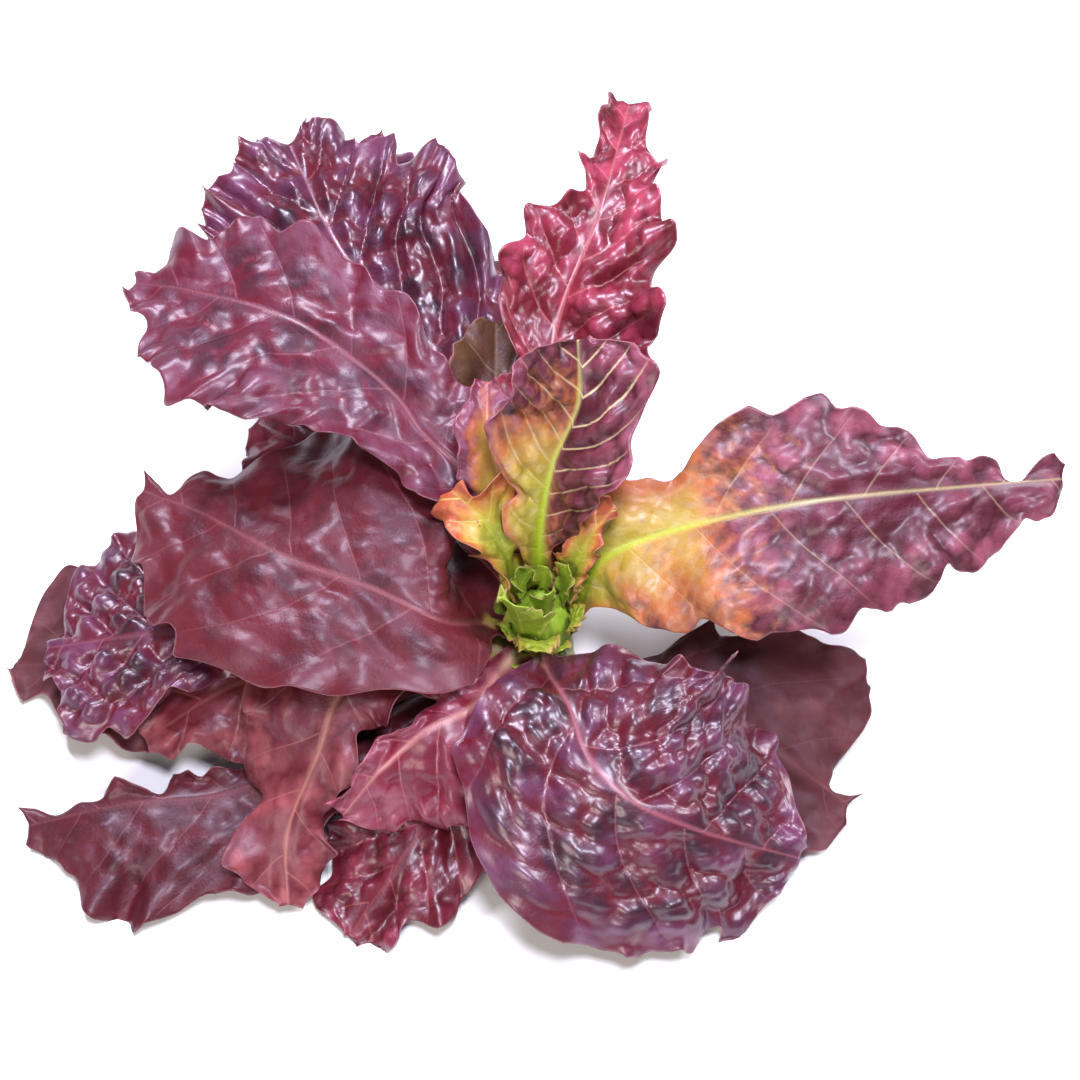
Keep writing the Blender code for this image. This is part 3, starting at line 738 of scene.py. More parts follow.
def coarse_leaves():
    """Each leaf's lift on the coarse grid, in laying order."""
    laid, lifts = [], {}
    for seed, leaf in enumerate(LEAVES):
        u, v = leaf_grid(leaf)
        points = leaf_surface(leaf, None, seed, u, v)[0]
        under = thickness(leaf, u, v)
        points[..., 2] = np.maximum(points[..., 2], under)
        space = under + GAP + CLEARANCE * smooth(np.linspace(0, 4, leaf.rows + 1))[:, None]
        lifts[leaf.name] = settle(points, space, laid)
        points = keep_off_stem(points + lifts[leaf.name])
        laid.append((tree_of(points), samples_of(points), span(points)))
    return lifts


lifts = coarse_leaves()
print("largest lift:", round(max(float(np.abs(lift).max()) for lift in lifts.values()), 1), "mm")

# %% [markdown]
# ## Blisters and pleats, with Geometry Nodes
# Between its side veins a red romaine blade swells up in pleats, and within each pleat in small
# blisters and finer dents, because the blade grows faster than the veins. It is one rule over every
# blade, so one node tree makes it. The tree reads where a point lies, counted in steps from one side
# vein to the next, lifts the middle of each step, adds the swollen cells of two Voronoi patterns and
# a few broad folds, and moves the point along its normal.
#
# Node trees could be drawn by hand in the editor. In a script one small function is enough: it adds
# a node, gives it its settings and its inputs, and hands back the output that the next node needs.

# %% Adding nodes
def fill_inputs(tree, node, inputs):
    """Links a node's inputs to other nodes' outputs, or sets them, in order or by their names."""
    for key, value in inputs.items() if isinstance(inputs, dict) else enumerate(inputs):
        if isinstance(value, bpy.types.NodeSocket):
            tree.links.new(value, node.inputs[key])
        else:
            node.inputs[key].default_value = value


def add_node(tree, kind, inputs=(), out=0, **settings):
    """Adds a node with its settings and inputs, and gives back the output asked for."""
    node = tree.nodes.new(kind)
    for name, value in settings.items():
        setattr(node, name, value)
    fill_inputs(tree, node, inputs)
    return node.outputs[out] if node.outputs else None


def start_tree(name, inputs):
    """A geometry node tree and its inputs, each of which has a name, a kind and a first value."""
    tree = bpy.data.node_groups.new(name, "GeometryNodeTree")
    for label, kind, value in inputs:
        socket = tree.interface.new_socket(label, in_out="INPUT", socket_type="NodeSocket" + kind)
        if value is not None:
            socket.default_value = value
    tree.interface.new_socket("Geometry", in_out="OUTPUT", socket_type="NodeSocketGeometry")
    return tree, tree.nodes.new("NodeGroupInput").outputs


def end_tree(tree, geometry, material):
    """Makes what the tree built real, gives it its material and hands it to the output."""
    real = add_node(tree, "GeometryNodeRealizeInstances", (geometry,))
    dressed = add_node(tree, "GeometryNodeSetMaterial", {"Geometry": real, "Material": material})
    add_node(tree, "NodeGroupOutput", (dressed,))
    return tree


counter = bpy.data.node_groups.new("trial", "GeometryNodeTree")
add_node(counter, "ShaderNodeMath", (1.0, 2.0), operation="ADD")
print("a trial tree has", len(counter.nodes), "node")
bpy.data.node_groups.remove(counter)

# %% [markdown]
# A blister is a Voronoi cell with a rounded top. The same cells are read again by the colour, which
# paints the creases between the blisters darker exactly where they are lower: this is painted shade.

# %% The relief tree
BLISTERS = 1.45
DENTS = 3.4
RELIEF_INPUTS = (
    ("Geometry", "Geometry", None),
    ("Pleat Height", "Float", 0.0022),
    ("Blister Height", "Float", 0.0016),
    ("Dent Height", "Float", 0.0006),
    ("Fold Height", "Float", 0.002),
    ("Material", "Material", None),
)


def domes(tree, place, scale):
    """Swollen cells with rounded tops, 1 at the top, and sharp creases between them."""
    cells = {"Vector": place, "Scale": scale, "Randomness": 0.85}
    far = add_node(tree, "ShaderNodeTexVoronoi", cells, "Distance")
    far = add_node(tree, "ShaderNodeMath", (far, 1.2), operation="MULTIPLY")
    far = add_node(tree, "ShaderNodeMath", (far, far), operation="MULTIPLY")
    return add_node(tree, "ShaderNodeMath", (1.0, far), operation="SUBTRACT")


def relief_tree():
    tree, given = start_tree("blistered_blade", RELIEF_INPUTS)
    node = partial(add_node, tree)
    place, mask, swell = (
        node("GeometryNodeInputNamedAttribute", (name,), data_type=kind)
        for name, kind in (("blade_at", "FLOAT_VECTOR"), ("relief", "FLOAT"), ("vein_step", "FLOAT"))
    )
    swell = node("ShaderNodeMath", (swell, np.pi), operation="MULTIPLY")
    for operation in ("SINE", "ABSOLUTE"):
        swell = node("ShaderNodeMath", (swell,), operation=operation)
    swell = node("ShaderNodeMath", (swell, 0.7), operation="POWER")
    fold = node("ShaderNodeTexNoise", {"Vector": place, "Scale": 0.7, "Detail": 1.0})
    height = 0.0
    for form, middle, size in (
        (swell, 0.6, "Pleat Height"),
        (domes(tree, place, BLISTERS), 0.6, "Blister Height"),
        (domes(tree, place, DENTS), 0.6, "Dent Height"),
        (fold, 0.5, "Fold Height"),
    ):
        form = node("ShaderNodeMath", (form, middle), operation="SUBTRACT")
        height = node("ShaderNodeMath", (form, given[size], height), operation="MULTIPLY_ADD")
    height = node("ShaderNodeMath", (height, mask), operation="MULTIPLY")
    normal = node("GeometryNodeInputNormal")
    offset = node("ShaderNodeVectorMath", {0: normal, "Scale": height}, operation="SCALE")
    moved = node("GeometryNodeSetPosition", {"Geometry": given["Geometry"], "Offset": offset})
    return end_tree(tree, moved, given["Material"])


def set_inputs(modifier, **values):
    """Sets a modifier's inputs by their names, through each socket's identifier."""
    sockets = modifier.node_group.interface.items_tree
    for key, value in values.items():
        modifier[sockets[key.replace("_", " ")].identifier] = value


blistered_blade = relief_tree()
print("relief tree:", len(blistered_blade.nodes), "nodes")

# %% [markdown]
# ## Leaf finishes
# A red romaine blade is green tissue with red sap over it. Where the sap is thin the leaf is
# yellow-green, where it thins out it looks orange, and where it is dense it is a wine purple. So one
# recipe makes every blade's colour: green, then a warm blush, then red, each by how much of it a
# point carries, with paler veins, a pale thread along the margin and a duller underside. Each look
# only changes the colours and the gloss.

# %% The colours of the leaves
def linear(code):
    """A hex colour as the eye sees it, turned into the linear values that shaders take."""
    values = [int(code[k : k + 2], 16) / 255 for k in (1, 3, 5)]
    return tuple(c / 12.92 if c <= 0.04045 else ((c + 0.055) / 1.055) ** 2.4 for c in values) + (1.0,)


@dataclass
class Look:
    """The colours of one kind of blade: two reds, green, blush, veins, midrib and underside."""

    dark: str
    light: str
    vein: str
    # The groove colour is both the real crimson beside the midrib and the painted shade in the creases.
    groove: str = "#6a1430"
    rib: str = "#b99a6c"
    green: str = "#9aa83c"
    warm: str = "#b0622f"
    under: str = "#6b3c3e"
    rough: float = 0.45
    gloss: float = 0.2
    pebbled: float = 0.3
    through: float = 0.1


LOOKS = {
    "purple": Look(
        "#300e1c", "#64304e", "#a4606c", "#5c1020", rib="#b0606a", rough=0.4, gloss=0.85
    ),
    "lilac": Look("#66182a", "#8e485a", "#c4787c", "#74162c", rib="#dcc89c", gloss=0.5),
    "maroon": Look("#420f16", "#64272f", "#98565a", "#601820", rib="#a65a5c", rough=0.46, pebbled=0.24),
    "crimson": Look("#6c0c22", "#9c384e", "#c66c6a", "#5c0816", rib="#c48a68", rough=0.4, gloss=0.7),
    "red": Look("#64242c", "#8e464a", "#aa6860", "#5e1c24", rib="#d4bc8c", pebbled=0.2),
    "brown": Look(
        "#481f1e", "#643434", "#7c4a44", "#4a1a1c", rib="#8c5c50", under="#5d3430", rough=0.58,
        gloss=0.02, pebbled=0.15,
    ),
    "olive": Look(
        "#3c2016", "#5a3c20", "#8c7448", "#4c2c1c", rib="#9a8050", under="#5a4420", rough=0.5,
        gloss=0.1,
    ),
    "two_tone": Look(
        "#441828", "#7c4258", "#b06c74", "#6e182e", rib="#b0686c", warm="#b5673a", gloss=0.4,
        pebbled=0.26,
    ),
    "green_purple": Look(
        "#561626", "#8a4658", "#dcc898", "#46141e", rib="#b0d028", green="#aab832",
        warm="#b4673c", gloss=0.4, through=0.12,
    ),
    "green": Look(
        "#8c3430", "#bc6840", "#dce07c", "#b0542c", rib="#c8e03c", green="#86ac26",
        warm="#cc9040", under="#80962c", gloss=0.3, through=0.2,
    ),
}


print("looks:", ", ".join(LOOKS))

# %% [markdown]
# The colour is laid on in layers, as it lies in the leaf: the green tissue first, then the sap, the
# veins, the midrib and the thin pale thread of the margin, each by its share at that point. Patterns
# read the place by the side veins where they follow them, and the place in space where they don't.

# %% Building a leaf material
POINT_VALUES = (
    "red", "warm", "rib", "vein_step", "pitch", "vein", "heat", "shade", "edge", "under",
)
SMOOTHLY = {"interpolation_type": "SMOOTHSTEP"}
# Noise scales are per metre: patches of 26 mm, mottles of 4 mm, crumples of 3 mm, pebbles of 1 mm.
NOISES = {"patches": (38.0, 4.0), "mottle": (240.0, 4.0), "crumple": (300.0, 2.0), "pebble": (1100.0, 2.0)}
EDGE_THREAD = "#b8707a"
SHADED = "#2c0a0e"
WAX_TINT = "#e2def8"


def new_material(name):
    material = bpy.data.materials.new(name)
    material.use_nodes = True
    return material, material.node_tree, material.node_tree.nodes["Principled BSDF"]


def layered(tree, colour, *layers):
    """Lays colours over one another, each in its share."""
    for share, cover in layers:
        under, over = (linear(c) if isinstance(c, str) else c for c in (colour, cover))
        colour = add_node(tree, "ShaderNodeMix", {0: share, 6: under, 7: over}, 2, data_type="RGBA")
    return colour


def sap_colour(tree, look, at, place, patches, side_vein):
    """Green tissue, the red sap that breaks up over it, and what covers both."""
    node = partial(add_node, tree)
    # The creases and pits between the blisters are painted darker here: painted shade.
    crease = node("ShaderNodeMapRange", (domes(tree, place, BLISTERS), 0.35, 0.85, 1.0, 0.0), **SMOOTHLY)
    pit = node("ShaderNodeMapRange", (domes(tree, place, DENTS), 0.35, 0.8, 1.0, 0.0), **SMOOTHLY)
    crease = node("ShaderNodeMath", (crease, 0.7), operation="MULTIPLY")
    crease_shade_and_crimson = node("ShaderNodeMath", (pit, 0.3, crease), operation="MULTIPLY_ADD")
    crease_shade_and_crimson = node("ShaderNodeMath", (crease_shade_and_crimson, at["heat"]), operation="ADD", use_clamp=True)

    # The sap is paler at the margin and in patches, and really more crimson beside the midrib.
    # It is painted darker crimson in the creases between the blisters, as painted shade.
    pale = node("ShaderNodeMapRange", (at["edge"], 3.0, 20.0, 0.5, 0.0), **SMOOTHLY)
    light = node("ShaderNodeMapRange", (patches, 0.4, 0.68), **SMOOTHLY)
    pale = node("ShaderNodeMath", (pale, light), operation="ADD", use_clamp=True)
    sap = layered(tree, look.dark, (pale, look.light), (crease_shade_and_crimson, look.groove))

    # Where it thins out it breaks up along the side veins, and the green below is netted.
    streaks = node("ShaderNodeTexNoise", {"Vector": place, "Scale": 3.0, "Detail": 6.0})
    broken = node("ShaderNodeMath", (at["red"], 0.55), operation="SUBTRACT")
    broken = node("ShaderNodeMath", (streaks, 1.1, broken), operation="MULTIPLY_ADD")
    broken = node("ShaderNodeMapRange", (broken, 0.15, 0.72), **SMOOTHLY)
    netted = node("ShaderNodeMapRange", (streaks, 0.5, 0.75, 0.0, 0.4), **SMOOTHLY)
    netted = node("ShaderNodeMath", (pit, 0.12, netted), operation="MULTIPLY_ADD")
    green = layered(tree, look.green, (at["warm"], look.warm), (netted, look.vein))

    # Side veins show less where the blade is green, and the underside is duller where it is red.
    shown = node("ShaderNodeMath", (side_vein, at["vein"]), operation="MULTIPLY")
    by_red = node("ShaderNodeMath", (at["red"], 0.7, 0.3), operation="MULTIPLY_ADD")
    shown = node("ShaderNodeMath", (shown, by_red), operation="MULTIPLY")
    mostly = node("ShaderNodeMath", (at["red"], 0.85), operation="MULTIPLY")
    rib = layered(tree, look.rib, (mostly, look.vein))
    thread = node("ShaderNodeMapRange", (at["edge"], 0.1, 0.6, 0.4, 0.0), **SMOOTHLY)
    dull = node("ShaderNodeMath", (at["red"], 0.7), operation="MULTIPLY")
    dull = node("ShaderNodeMath", (at["under"], dull), operation="MULTIPLY")
    return layered(
        tree, green, (broken, sap), (shown, look.vein), (at["rib"], rib), (thread, EDGE_THREAD),
        (dull, look.under), (at["shade"], SHADED),
    )


print("values read at each point:", len(POINT_VALUES))

# %% [markdown]
# Over the colour lies the skin: finely pebbled, crumpled, grooved at the veins and thinly waxed. A
# gloss alone would look like plastic, so a little light also passes through the blade.

# %% The skin of a blade
def leaf_material(name, look):
    """The finish of a blade: sap colours, veins and a waxy, finely wrinkled skin."""
    material, tree, shader = new_material("lettuce_" + name)
    node = partial(add_node, tree)
    at = {key: node("ShaderNodeAttribute", (), "Fac", attribute_name=key) for key in POINT_VALUES}
    place = node("ShaderNodeAttribute", (), "Vector", attribute_name="blade_at")
    where = node("ShaderNodeTexCoord", (), "Object")
    noise = {
        key: node("ShaderNodeTexNoise", {"Vector": where, "Scale": scale, "Detail": detail})
        for key, (scale, detail) in NOISES.items()
    }
    # A side vein runs along each whole step, and its width is in millimetres.
    off_vein = node("ShaderNodeMath", (at["vein_step"], 0.5), operation="PINGPONG")
    off_vein = node("ShaderNodeMath", (off_vein, at["pitch"]), operation="MULTIPLY")
    side_vein = node("ShaderNodeMapRange", (off_vein, 0.1, 0.7, 1.0, 0.0), **SMOOTHLY)
    colour = sap_colour(tree, look, at, place, noise["patches"], side_vein)

    # The skin is crumpled and finely pebbled, and each side vein is a small groove.
    crumple = node("ShaderNodeMath", (noise["crumple"], 0.5), operation="SUBTRACT")
    crumple = node("ShaderNodeMath", (crumple,), operation="ABSOLUTE")
    skin = node("ShaderNodeMath", (noise["pebble"], 0.35), operation="MULTIPLY")
    skin = node("ShaderNodeMath", (crumple, 2.4, skin), operation="MULTIPLY_ADD")
    skin = node("ShaderNodeMath", (side_vein, -0.7, skin), operation="MULTIPLY_ADD")
    bump = node("ShaderNodeBump", {"Height": skin, "Strength": look.pebbled, "Distance": 0.0008})

    # The wax on the skin gives the soft, faintly lilac highlights, and light shows through thin tissue.
    rough = node("ShaderNodeMath", (noise["mottle"], 0.24, look.rough - 0.1), operation="MULTIPLY_ADD")
    rough = node("ShaderNodeMath", (at["under"], 0.15, rough), operation="MULTIPLY_ADD")
    fill_inputs(tree, shader, {
        "Base Color": colour, "Roughness": rough, "Normal": bump, "Specular IOR Level": 0.4,
        "Specular Tint": linear(WAX_TINT), "Coat Weight": look.gloss, "Coat Roughness": 0.3,
    })
    glow = node("ShaderNodeBsdfTranslucent", {"Color": colour})
    both = node("ShaderNodeMixShader", (look.through, shader.outputs[0], glow))
    fill_inputs(tree, tree.nodes["Material Output"], {"Surface": both})
    return material


MATERIALS = {name: leaf_material(name, look) for name, look in LOOKS.items()}
print("leaf materials:", ", ".join(MATERIALS))

# %% [markdown]
# ## The fine blades
# Now each leaf is made again on a grid of about a millimetre, with its frills and teeth. It takes
# the coarse lift, then the blisters from the node tree. Where a blister of a lower leaf would come
# through, the upper blade is eased up by a ray test. Last, the sheet gets its real thickness: a
# lower face and a closed rim, with the midrib and the side veins standing out below.

# %% Meshes and objects
LOWEST_UNDERSIDE = 0.1
LOWEST_TOP = 0.4


def grid_quads(rows, columns):
    """The numbers of a grid's points, and quads between them that face the upper side."""
    index = np.arange(rows * columns).reshape(rows, columns)
    quads = np.stack([index[:-1, :-1], index[1:, :-1], index[1:, 1:], index[:-1, 1:]], -1)
    return index, quads.reshape(-1, 4)


def add_object(name, data):
    made = bpy.data.objects.new(name, data)
    bpy.context.scene.collection.objects.link(made)
    return made


def add_mesh(name, points, faces, attributes):
    """A smooth mesh object from points in millimetres, with the attributes on its points."""
    mesh = bpy.data.meshes.new(name)
    mesh.from_pydata(MM * points, [], faces)
    for key, values in attributes.items():
        values = np.asarray(values, np.float32)
        kind, field = ("FLOAT_VECTOR", "vector") if values.ndim == 2 else ("FLOAT", "value")
        mesh.attributes.new(key, kind, "POINT").data.foreach_set(field, values.ravel())
    mesh.shade_smooth()
    return add_object(name, mesh)


def plain_mesh(obj):
    """The evaluated object as a plain mesh, with its modifiers gone."""
    graph = bpy.context.evaluated_depsgraph_get()
    mesh = bpy.data.meshes.new_from_object(obj.evaluated_get(graph), depsgraph=graph)
    obj.modifiers.clear()
    old, obj.data = obj.data, mesh
    bpy.data.meshes.remove(old)
    return mesh


def vertex_normals(points):
    normals = facings(points)
    return normals / np.maximum(np.linalg.norm(normals, axis=-1, keepdims=True), 1e-9)


def closed_blade(name, points, under, attributes):
    """Upper face, lower face and the rim between them, as one closed mesh."""
    index, top = grid_quads(*points.shape[:2])
    lower = points - vertex_normals(points) * under[..., None]
    upper = points.copy()
    lower[..., 2] = np.maximum(lower[..., 2], LOWEST_UNDERSIDE)
    upper[..., 2] = np.maximum(upper[..., 2], LOWEST_TOP)
    rim = np.concatenate([index[:, 0], index[-1, 1:], index[-2::-1, -1], index[0, -2:0:-1]])
    ahead = np.roll(rim, -1)
    walls = np.stack([rim, rim + index.size, ahead + index.size, ahead], -1)
    faces = np.concatenate([top, top[:, ::-1] + index.size, walls])
    doubled = {key: np.concatenate([value, value]) for key, value in attributes.items()}
    doubled["under"] = np.repeat([0.0, 1.0], index.size)
    return add_mesh(name, np.concatenate([upper.reshape(-1, 3), lower.reshape(-1, 3)]), faces, doubled)


print("quads of a grid of 3 by 4 points:", len(grid_quads(3, 4)[1]))

# %% [markdown]
# The relief tree works on an open sheet, before the blade gets its thickness, so that both of its
# faces follow the same blisters. Small leaves have smaller waves, so their relief is smaller too.

# %% The relief of a blade
SPACING = 1.3
THINNEST = 0.45
RAY_START = 7.0
PLEAT = 2.4
BLISTER = 3.0
DENT = 0.95
FOLD = 11.0


def fine_grid(leaf, finish, length):
    spacing = SPACING / finish.fine
    wide = max(leaf.left) + max(leaf.right)
    rows = int(np.clip(length / spacing, 34, 190))
    half = int(np.clip(0.5 * wide / spacing, 14, 60))
    u = np.linspace(0, 1, rows + 1) ** 1.06
    v = np.linspace(-1, 1, 2 * half + 1)
    v = np.sign(v) * np.abs(v) ** 0.92
    return np.meshgrid(u, v, indexing="ij")


def relieved(leaf, finish, points, attributes):
    """The points of the blade after the relief tree, in millimetres."""
    quads = grid_quads(*points.shape[:2])[1]
    sheet = add_mesh(leaf.name + "_sheet", points.reshape(-1, 3), quads, attributes)
    modifier = sheet.modifiers.new("relief", "NODES")
    modifier.node_group = blistered_blade
    size = growth(leaf)
    set_inputs(
        modifier,
        Pleat_Height=MM * PLEAT * finish.blister * finish.pleat * size,
        Blister_Height=MM * BLISTER * finish.blister * size,
        Dent_Height=MM * (0.15 + DENT * finish.blister) * size,
        Fold_Height=MM * FOLD * size,
        Material=MATERIALS[leaf.look],
    )
    mesh = plain_mesh(sheet)
    found = np.empty(3 * len(mesh.vertices), np.float32)
    mesh.vertices.foreach_get("co", found)
    bpy.data.objects.remove(sheet)
    return found.reshape(points.shape).astype(float) / MM


def ease_up(points, way, trees, room):
    """Lifts what the leaves below would come through, and smooths the lift."""
    near = those_near(trees, *span(points, 6))
    need = np.zeros(points.shape[:2])
    for i, row in enumerate(points):
        for j, point in enumerate(row):
            start = Vector(point) + RAY_START * way
            for (tree,) in near:
                hit, normal, _, _ = tree.ray_cast(start, -way, RAY_START + room)
                if hit is not None and i > 2 and abs(normal.dot(way)) > EDGE_ON:
                    need[i, j] = max(need[i, j], room - (Vector(point) - hit).dot(way))
    lift = need.copy()
    for _ in range(6):
        lift = np.maximum(need, mean_of_neighbours(lift))
    lift *= smooth(np.arange(len(lift)) / 6.0)[:, None]
    return points + lift[..., None] * np.array(way)


print("relief on a grid of", SPACING, "mm, from", BLADE, "mm solids to sheets of", THINNEST, "mm")

# %% [markdown]
# How much red a point carries follows a rule too: it sets in at a share of the length, sooner near
# the margin, with an uneven front. The blush is strongest where green gives way to red.

# %% Where the veins and the colours lie
VEIN_TURN = 32.0
CELL = 14.0


def sap_of(finish, seed, u, v, x, s):
    """How red and how warm each point is."""
    start = np.where(v < 0, finish.red_right, finish.red_left)
    front = 0.09 * uneven(x, 16.0, seed) + 0.06 * uneven(s + 3 * x, 37.0, seed + 3)
    red = smooth((u - start + front + finish.margin_red * np.abs(v) ** 3) / finish.red_span)
    warm = np.clip(finish.warm * (0.25 + 1.8 * red + 0.5 * np.abs(v) ** 2), 0, 1)
    return red, warm


def blade_values(leaf, finish, seed, u, v, x, s, width):
    """What the node trees read at each point: its place by the side veins, and its colours."""
    turn = np.radians(VEIN_TURN)
    bend = 1.6 * uneven(s, 23.0, seed) + 1.2 * uneven(x, 19.0, seed + 4)
    ahead = np.cos(turn) * x - np.sin(turn) * np.abs(s) + bend
    outward = np.sin(turn) * x + np.cos(turn) * np.abs(s)
    cell = (CELL + 0.25 * (finish.pitch - CELL)) * max(growth(leaf), 0.5)
    rib_width = 0.5 + finish.rib_wide * (leaf.rib / 4.0) * (1 - u) ** 1.6
    inner = (1 - np.abs(v)) * width
    relief = smooth((np.abs(s) - 0.6 * rib_width) / 8.0) * smooth(u / 0.2)
    red, warm = sap_of(finish, seed, u, v, x, s)
    heat = finish.heat * np.exp(-((s / 15.0) ** 2)) * (1.1 - u) + 0.25 * uneven(x + 2 * s, 31.0, seed)
    return {
        "blade_at": np.stack([0.75 * ahead / cell, 1.25 * outward / cell, 3.0 * seed + 1.4 * (v < 0)], -1),
        "relief": relief * (0.3 + 0.7 * smooth(inner / (0.35 * width))),
        "red": red,
        "warm": warm,
        "rib": np.exp(-((s / rib_width) ** 2) * 1.2),
        "vein_step": ahead / finish.pitch + 0.3 * (v < 0),
        "pitch": np.full(u.shape, finish.pitch),
        "vein": finish.vein * (1 - np.abs(v) ** 3),
        "heat": np.clip(heat, 0, 1),
        "shade": np.full(u.shape, finish.shade),
        "edge": inner,
    }


def flat_values(values):
    """The values of a grid, in the order of its mesh's points."""
    return {key: v.reshape(-1, 3) if v.ndim == 3 else v.ravel() for key, v in values.items()}


print("side veins lie", VEIN_TURN, "degrees off the midrib's square")

# %% [markdown]
# Each blade is made after those below it, and goes into the frame in place of its plain solid.

# %% Making every blade
ROOM = 0.9
CHANNEL = 0.9
VEIN_HEIGHT = 0.7
VEIN_WIDTH = 1.1


def make_leaf(leaf, finish, seed, trees):
    u, v = fine_grid(leaf, finish, midrib(leaf)[3])
    points, x, s, width = leaf_surface(leaf, finish, seed, u, v)
    under = thickness(leaf, u, v) - BLADE + THINNEST
    points[..., 2] = np.maximum(points[..., 2], under)
    way = laying_direction(points)
    if leaf.name in lifts:
        points = points + np.stack([fine_lift(leaf, lifts[leaf.name][..., k], u, v) for k in range(3)], -1)
        points = keep_off_stem(points)

    values = blade_values(leaf, finish, seed, u, v, x, s, width)
    rib, step = values["rib"], values["vein_step"]
    values["rib"] = finish.rib * rib * (1 - 0.55 * u)
    attributes = flat_values(values)
    points = relieved(leaf, finish, points, attributes)
    # The midrib is a shallow channel on the upper face, and the side veins stand out below.
    points = points - vertex_normals(points) * (CHANNEL * rib * (1 - u) * growth(leaf))[..., None]
    if trees and leaf.name in lifts:
        points = ease_up(points, way, trees, ROOM)
    trees.append((tree_of(points), span(points)))
    off_vein = np.abs(step - np.round(step)) * finish.pitch
    veins = np.exp(-((off_vein / VEIN_WIDTH) ** 2)) * (1 - np.abs(v)) * (1 - 0.5 * u)
    under = under + VEIN_HEIGHT * growth(leaf) * veins
    piece = closed_blade(leaf.name + "_blade", points, under, attributes)
    piece.data.materials.append(MATERIALS[leaf.look])
    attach(piece, "root")
    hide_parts(leaf.name)
    return piece


trees = []
blades = []
for seed, leaf in enumerate(LEAVES + heart_leaves()):
    finish = FINISHES.get(leaf.name, HEART_FINISH)
    blades.append(make_leaf(leaf, finish, seed, trees))
faces = sum(2 * len(piece.data.polygons) for piece in blades)
print(len(blades), "blades,", faces, "triangles")

# %% [markdown]
# ## The cut stem
# The stem is a stout core that the leaf feet clasp. It could be a plain lathe, and is one here in
# its main shape, but a real one is ridged below each foot, its cut face is sunk a little at the
# pith, and the cut has browned.

# %% The flesh of the stem
def stem_material():
    """Pale, wet stem flesh that turns brown at the cut and green at the growing tip."""
    material, tree, shader = new_material("lettuce_stem")
    node = partial(add_node, tree)
    place = node("ShaderNodeTexCoord", (), "Object")
    height = node("ShaderNodeSeparateXYZ", (place,), 2)
    patches = node("ShaderNodeTexNoise", {"Vector": place, "Scale": 90.0, "Detail": 3.0})
    fibres = node("ShaderNodeTexNoise", {"Vector": place, "Scale": 700.0, "Detail": 2.0})
    pale = node("ShaderNodeMapRange", (patches, 0.35, 0.7), **SMOOTHLY)
    grown = node("ShaderNodeMapRange", (height, 0.012, 0.044), **SMOOTHLY)
    cut = node("ShaderNodeMapRange", (height, 0.0002, 0.004, 1.0, 0.0), **SMOOTHLY)
    browned = node("ShaderNodeMapRange", (patches, 0.3, 0.7, 0.0, 0.75), **SMOOTHLY)
    browned = node("ShaderNodeMath", (cut, browned), operation="MULTIPLY")
    flesh = layered(tree, "#c9cf96", (pale, "#dfe2b8"), (grown, "#8fae34"), (browned, "#9a6238"))
    rough = node("ShaderNodeMath", (fibres, 0.25, 0.4), operation="MULTIPLY_ADD")
    bump = node("ShaderNodeBump", {"Height": fibres, "Strength": 0.5, "Distance": 0.0005})
    fill_inputs(tree, shader, {"Base Color": flesh, "Roughness": rough, "Normal": bump})
    return material


stem_flesh = stem_material()
print("stem material:", len(stem_flesh.node_tree.nodes), "nodes")

# %% [markdown]
# The shape is a lathe of rings with two sets of shallow ridges on it, closed at both ends. At the
# cut it dips between the rind and the pith, as a fresh cut does when it dries.

# %% The shape of the stem
STEM_SIDES = 96
STEM_RIDGES = 8
FINE_RIDGES = 19
CUT_HEIGHTS = (0.8, 0.0, 0.3, 0.3, 0.0, 0.35)
CUT_RADII = (3.0, 6.0, 10.0, 14.5, 15.8, 16.6)
PITH_HEIGHT = 1.4


def stem_rings():
    """Rings of points from the sunk cut face up to the growing tip."""
    heights = np.concatenate([np.linspace(1.2, 50, 40), np.linspace(51, 66, 16)])
    radii = np.concatenate([CUT_RADII, (stem_radius(heights) - 0.1)[1:]])[:, None]
    heights = np.concatenate([CUT_HEIGHTS, heights[1:]])[:, None]
    turn = (2 * np.pi * np.arange(STEM_SIDES) / STEM_SIDES)[None, :]
    ridge = 0.35 * np.sin(STEM_RIDGES * turn + heights / 3.5)
    ridge = ridge + 0.25 * np.sin(FINE_RIDGES * turn - heights / 5.0)
    above_cut = smooth((heights - 1) / 6)
    around = radii + ridge * above_cut - 0.6 * above_cut
    return np.stack([around * np.cos(turn), around * np.sin(turn), heights + 0 * turn], -1)


def make_stem():
    points = stem_rings()
    index = np.arange(points[..., 0].size).reshape(points.shape[:2])
    ahead = np.roll(index, -1, 1)
    faces = np.stack([index[:-1], ahead[:-1], ahead[1:], index[1:]], -1).reshape(-1, 4).tolist()
    faces += [(index.size, int(b), int(a)) for a, b in zip(index[0], ahead[0])]
    faces += [(index.size + 1, int(a), int(b)) for a, b in zip(index[-1], ahead[-1])]
    ends = [(0, 0, PITH_HEIGHT), (0, 0, STEM_TOP)]
    piece = add_mesh("cut_stem_flesh", np.concatenate([points.reshape(-1, 3), ends]), faces, {})
    piece.data.materials.append(stem_flesh)
    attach(piece, "root")
    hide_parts("cut_stem")
    return piece


stem = make_stem()
print("stem:", len(stem.data.polygons), "faces")

# %% [markdown]
# ## Half-grown leaves round the tip
# Between the heart and the big leaves stand half-grown leaves, still bright green and tightly
# frilled. On the plant each one grows a golden angle of turn after the last, and a little higher.
# That is a rule over points, so a node tree sets them out: it numbers the points, turns each by the
# golden angle, puts one small leaf on each with its own size and lean, and makes them real.

# %% One half-grown leaf
LEAFLET_LENGTH = 25.0
LEAFLET_HALF_WIDTH = 8.5
LEAFLET_CUP = 13.0
LEAFLET_PITCH = 5.0


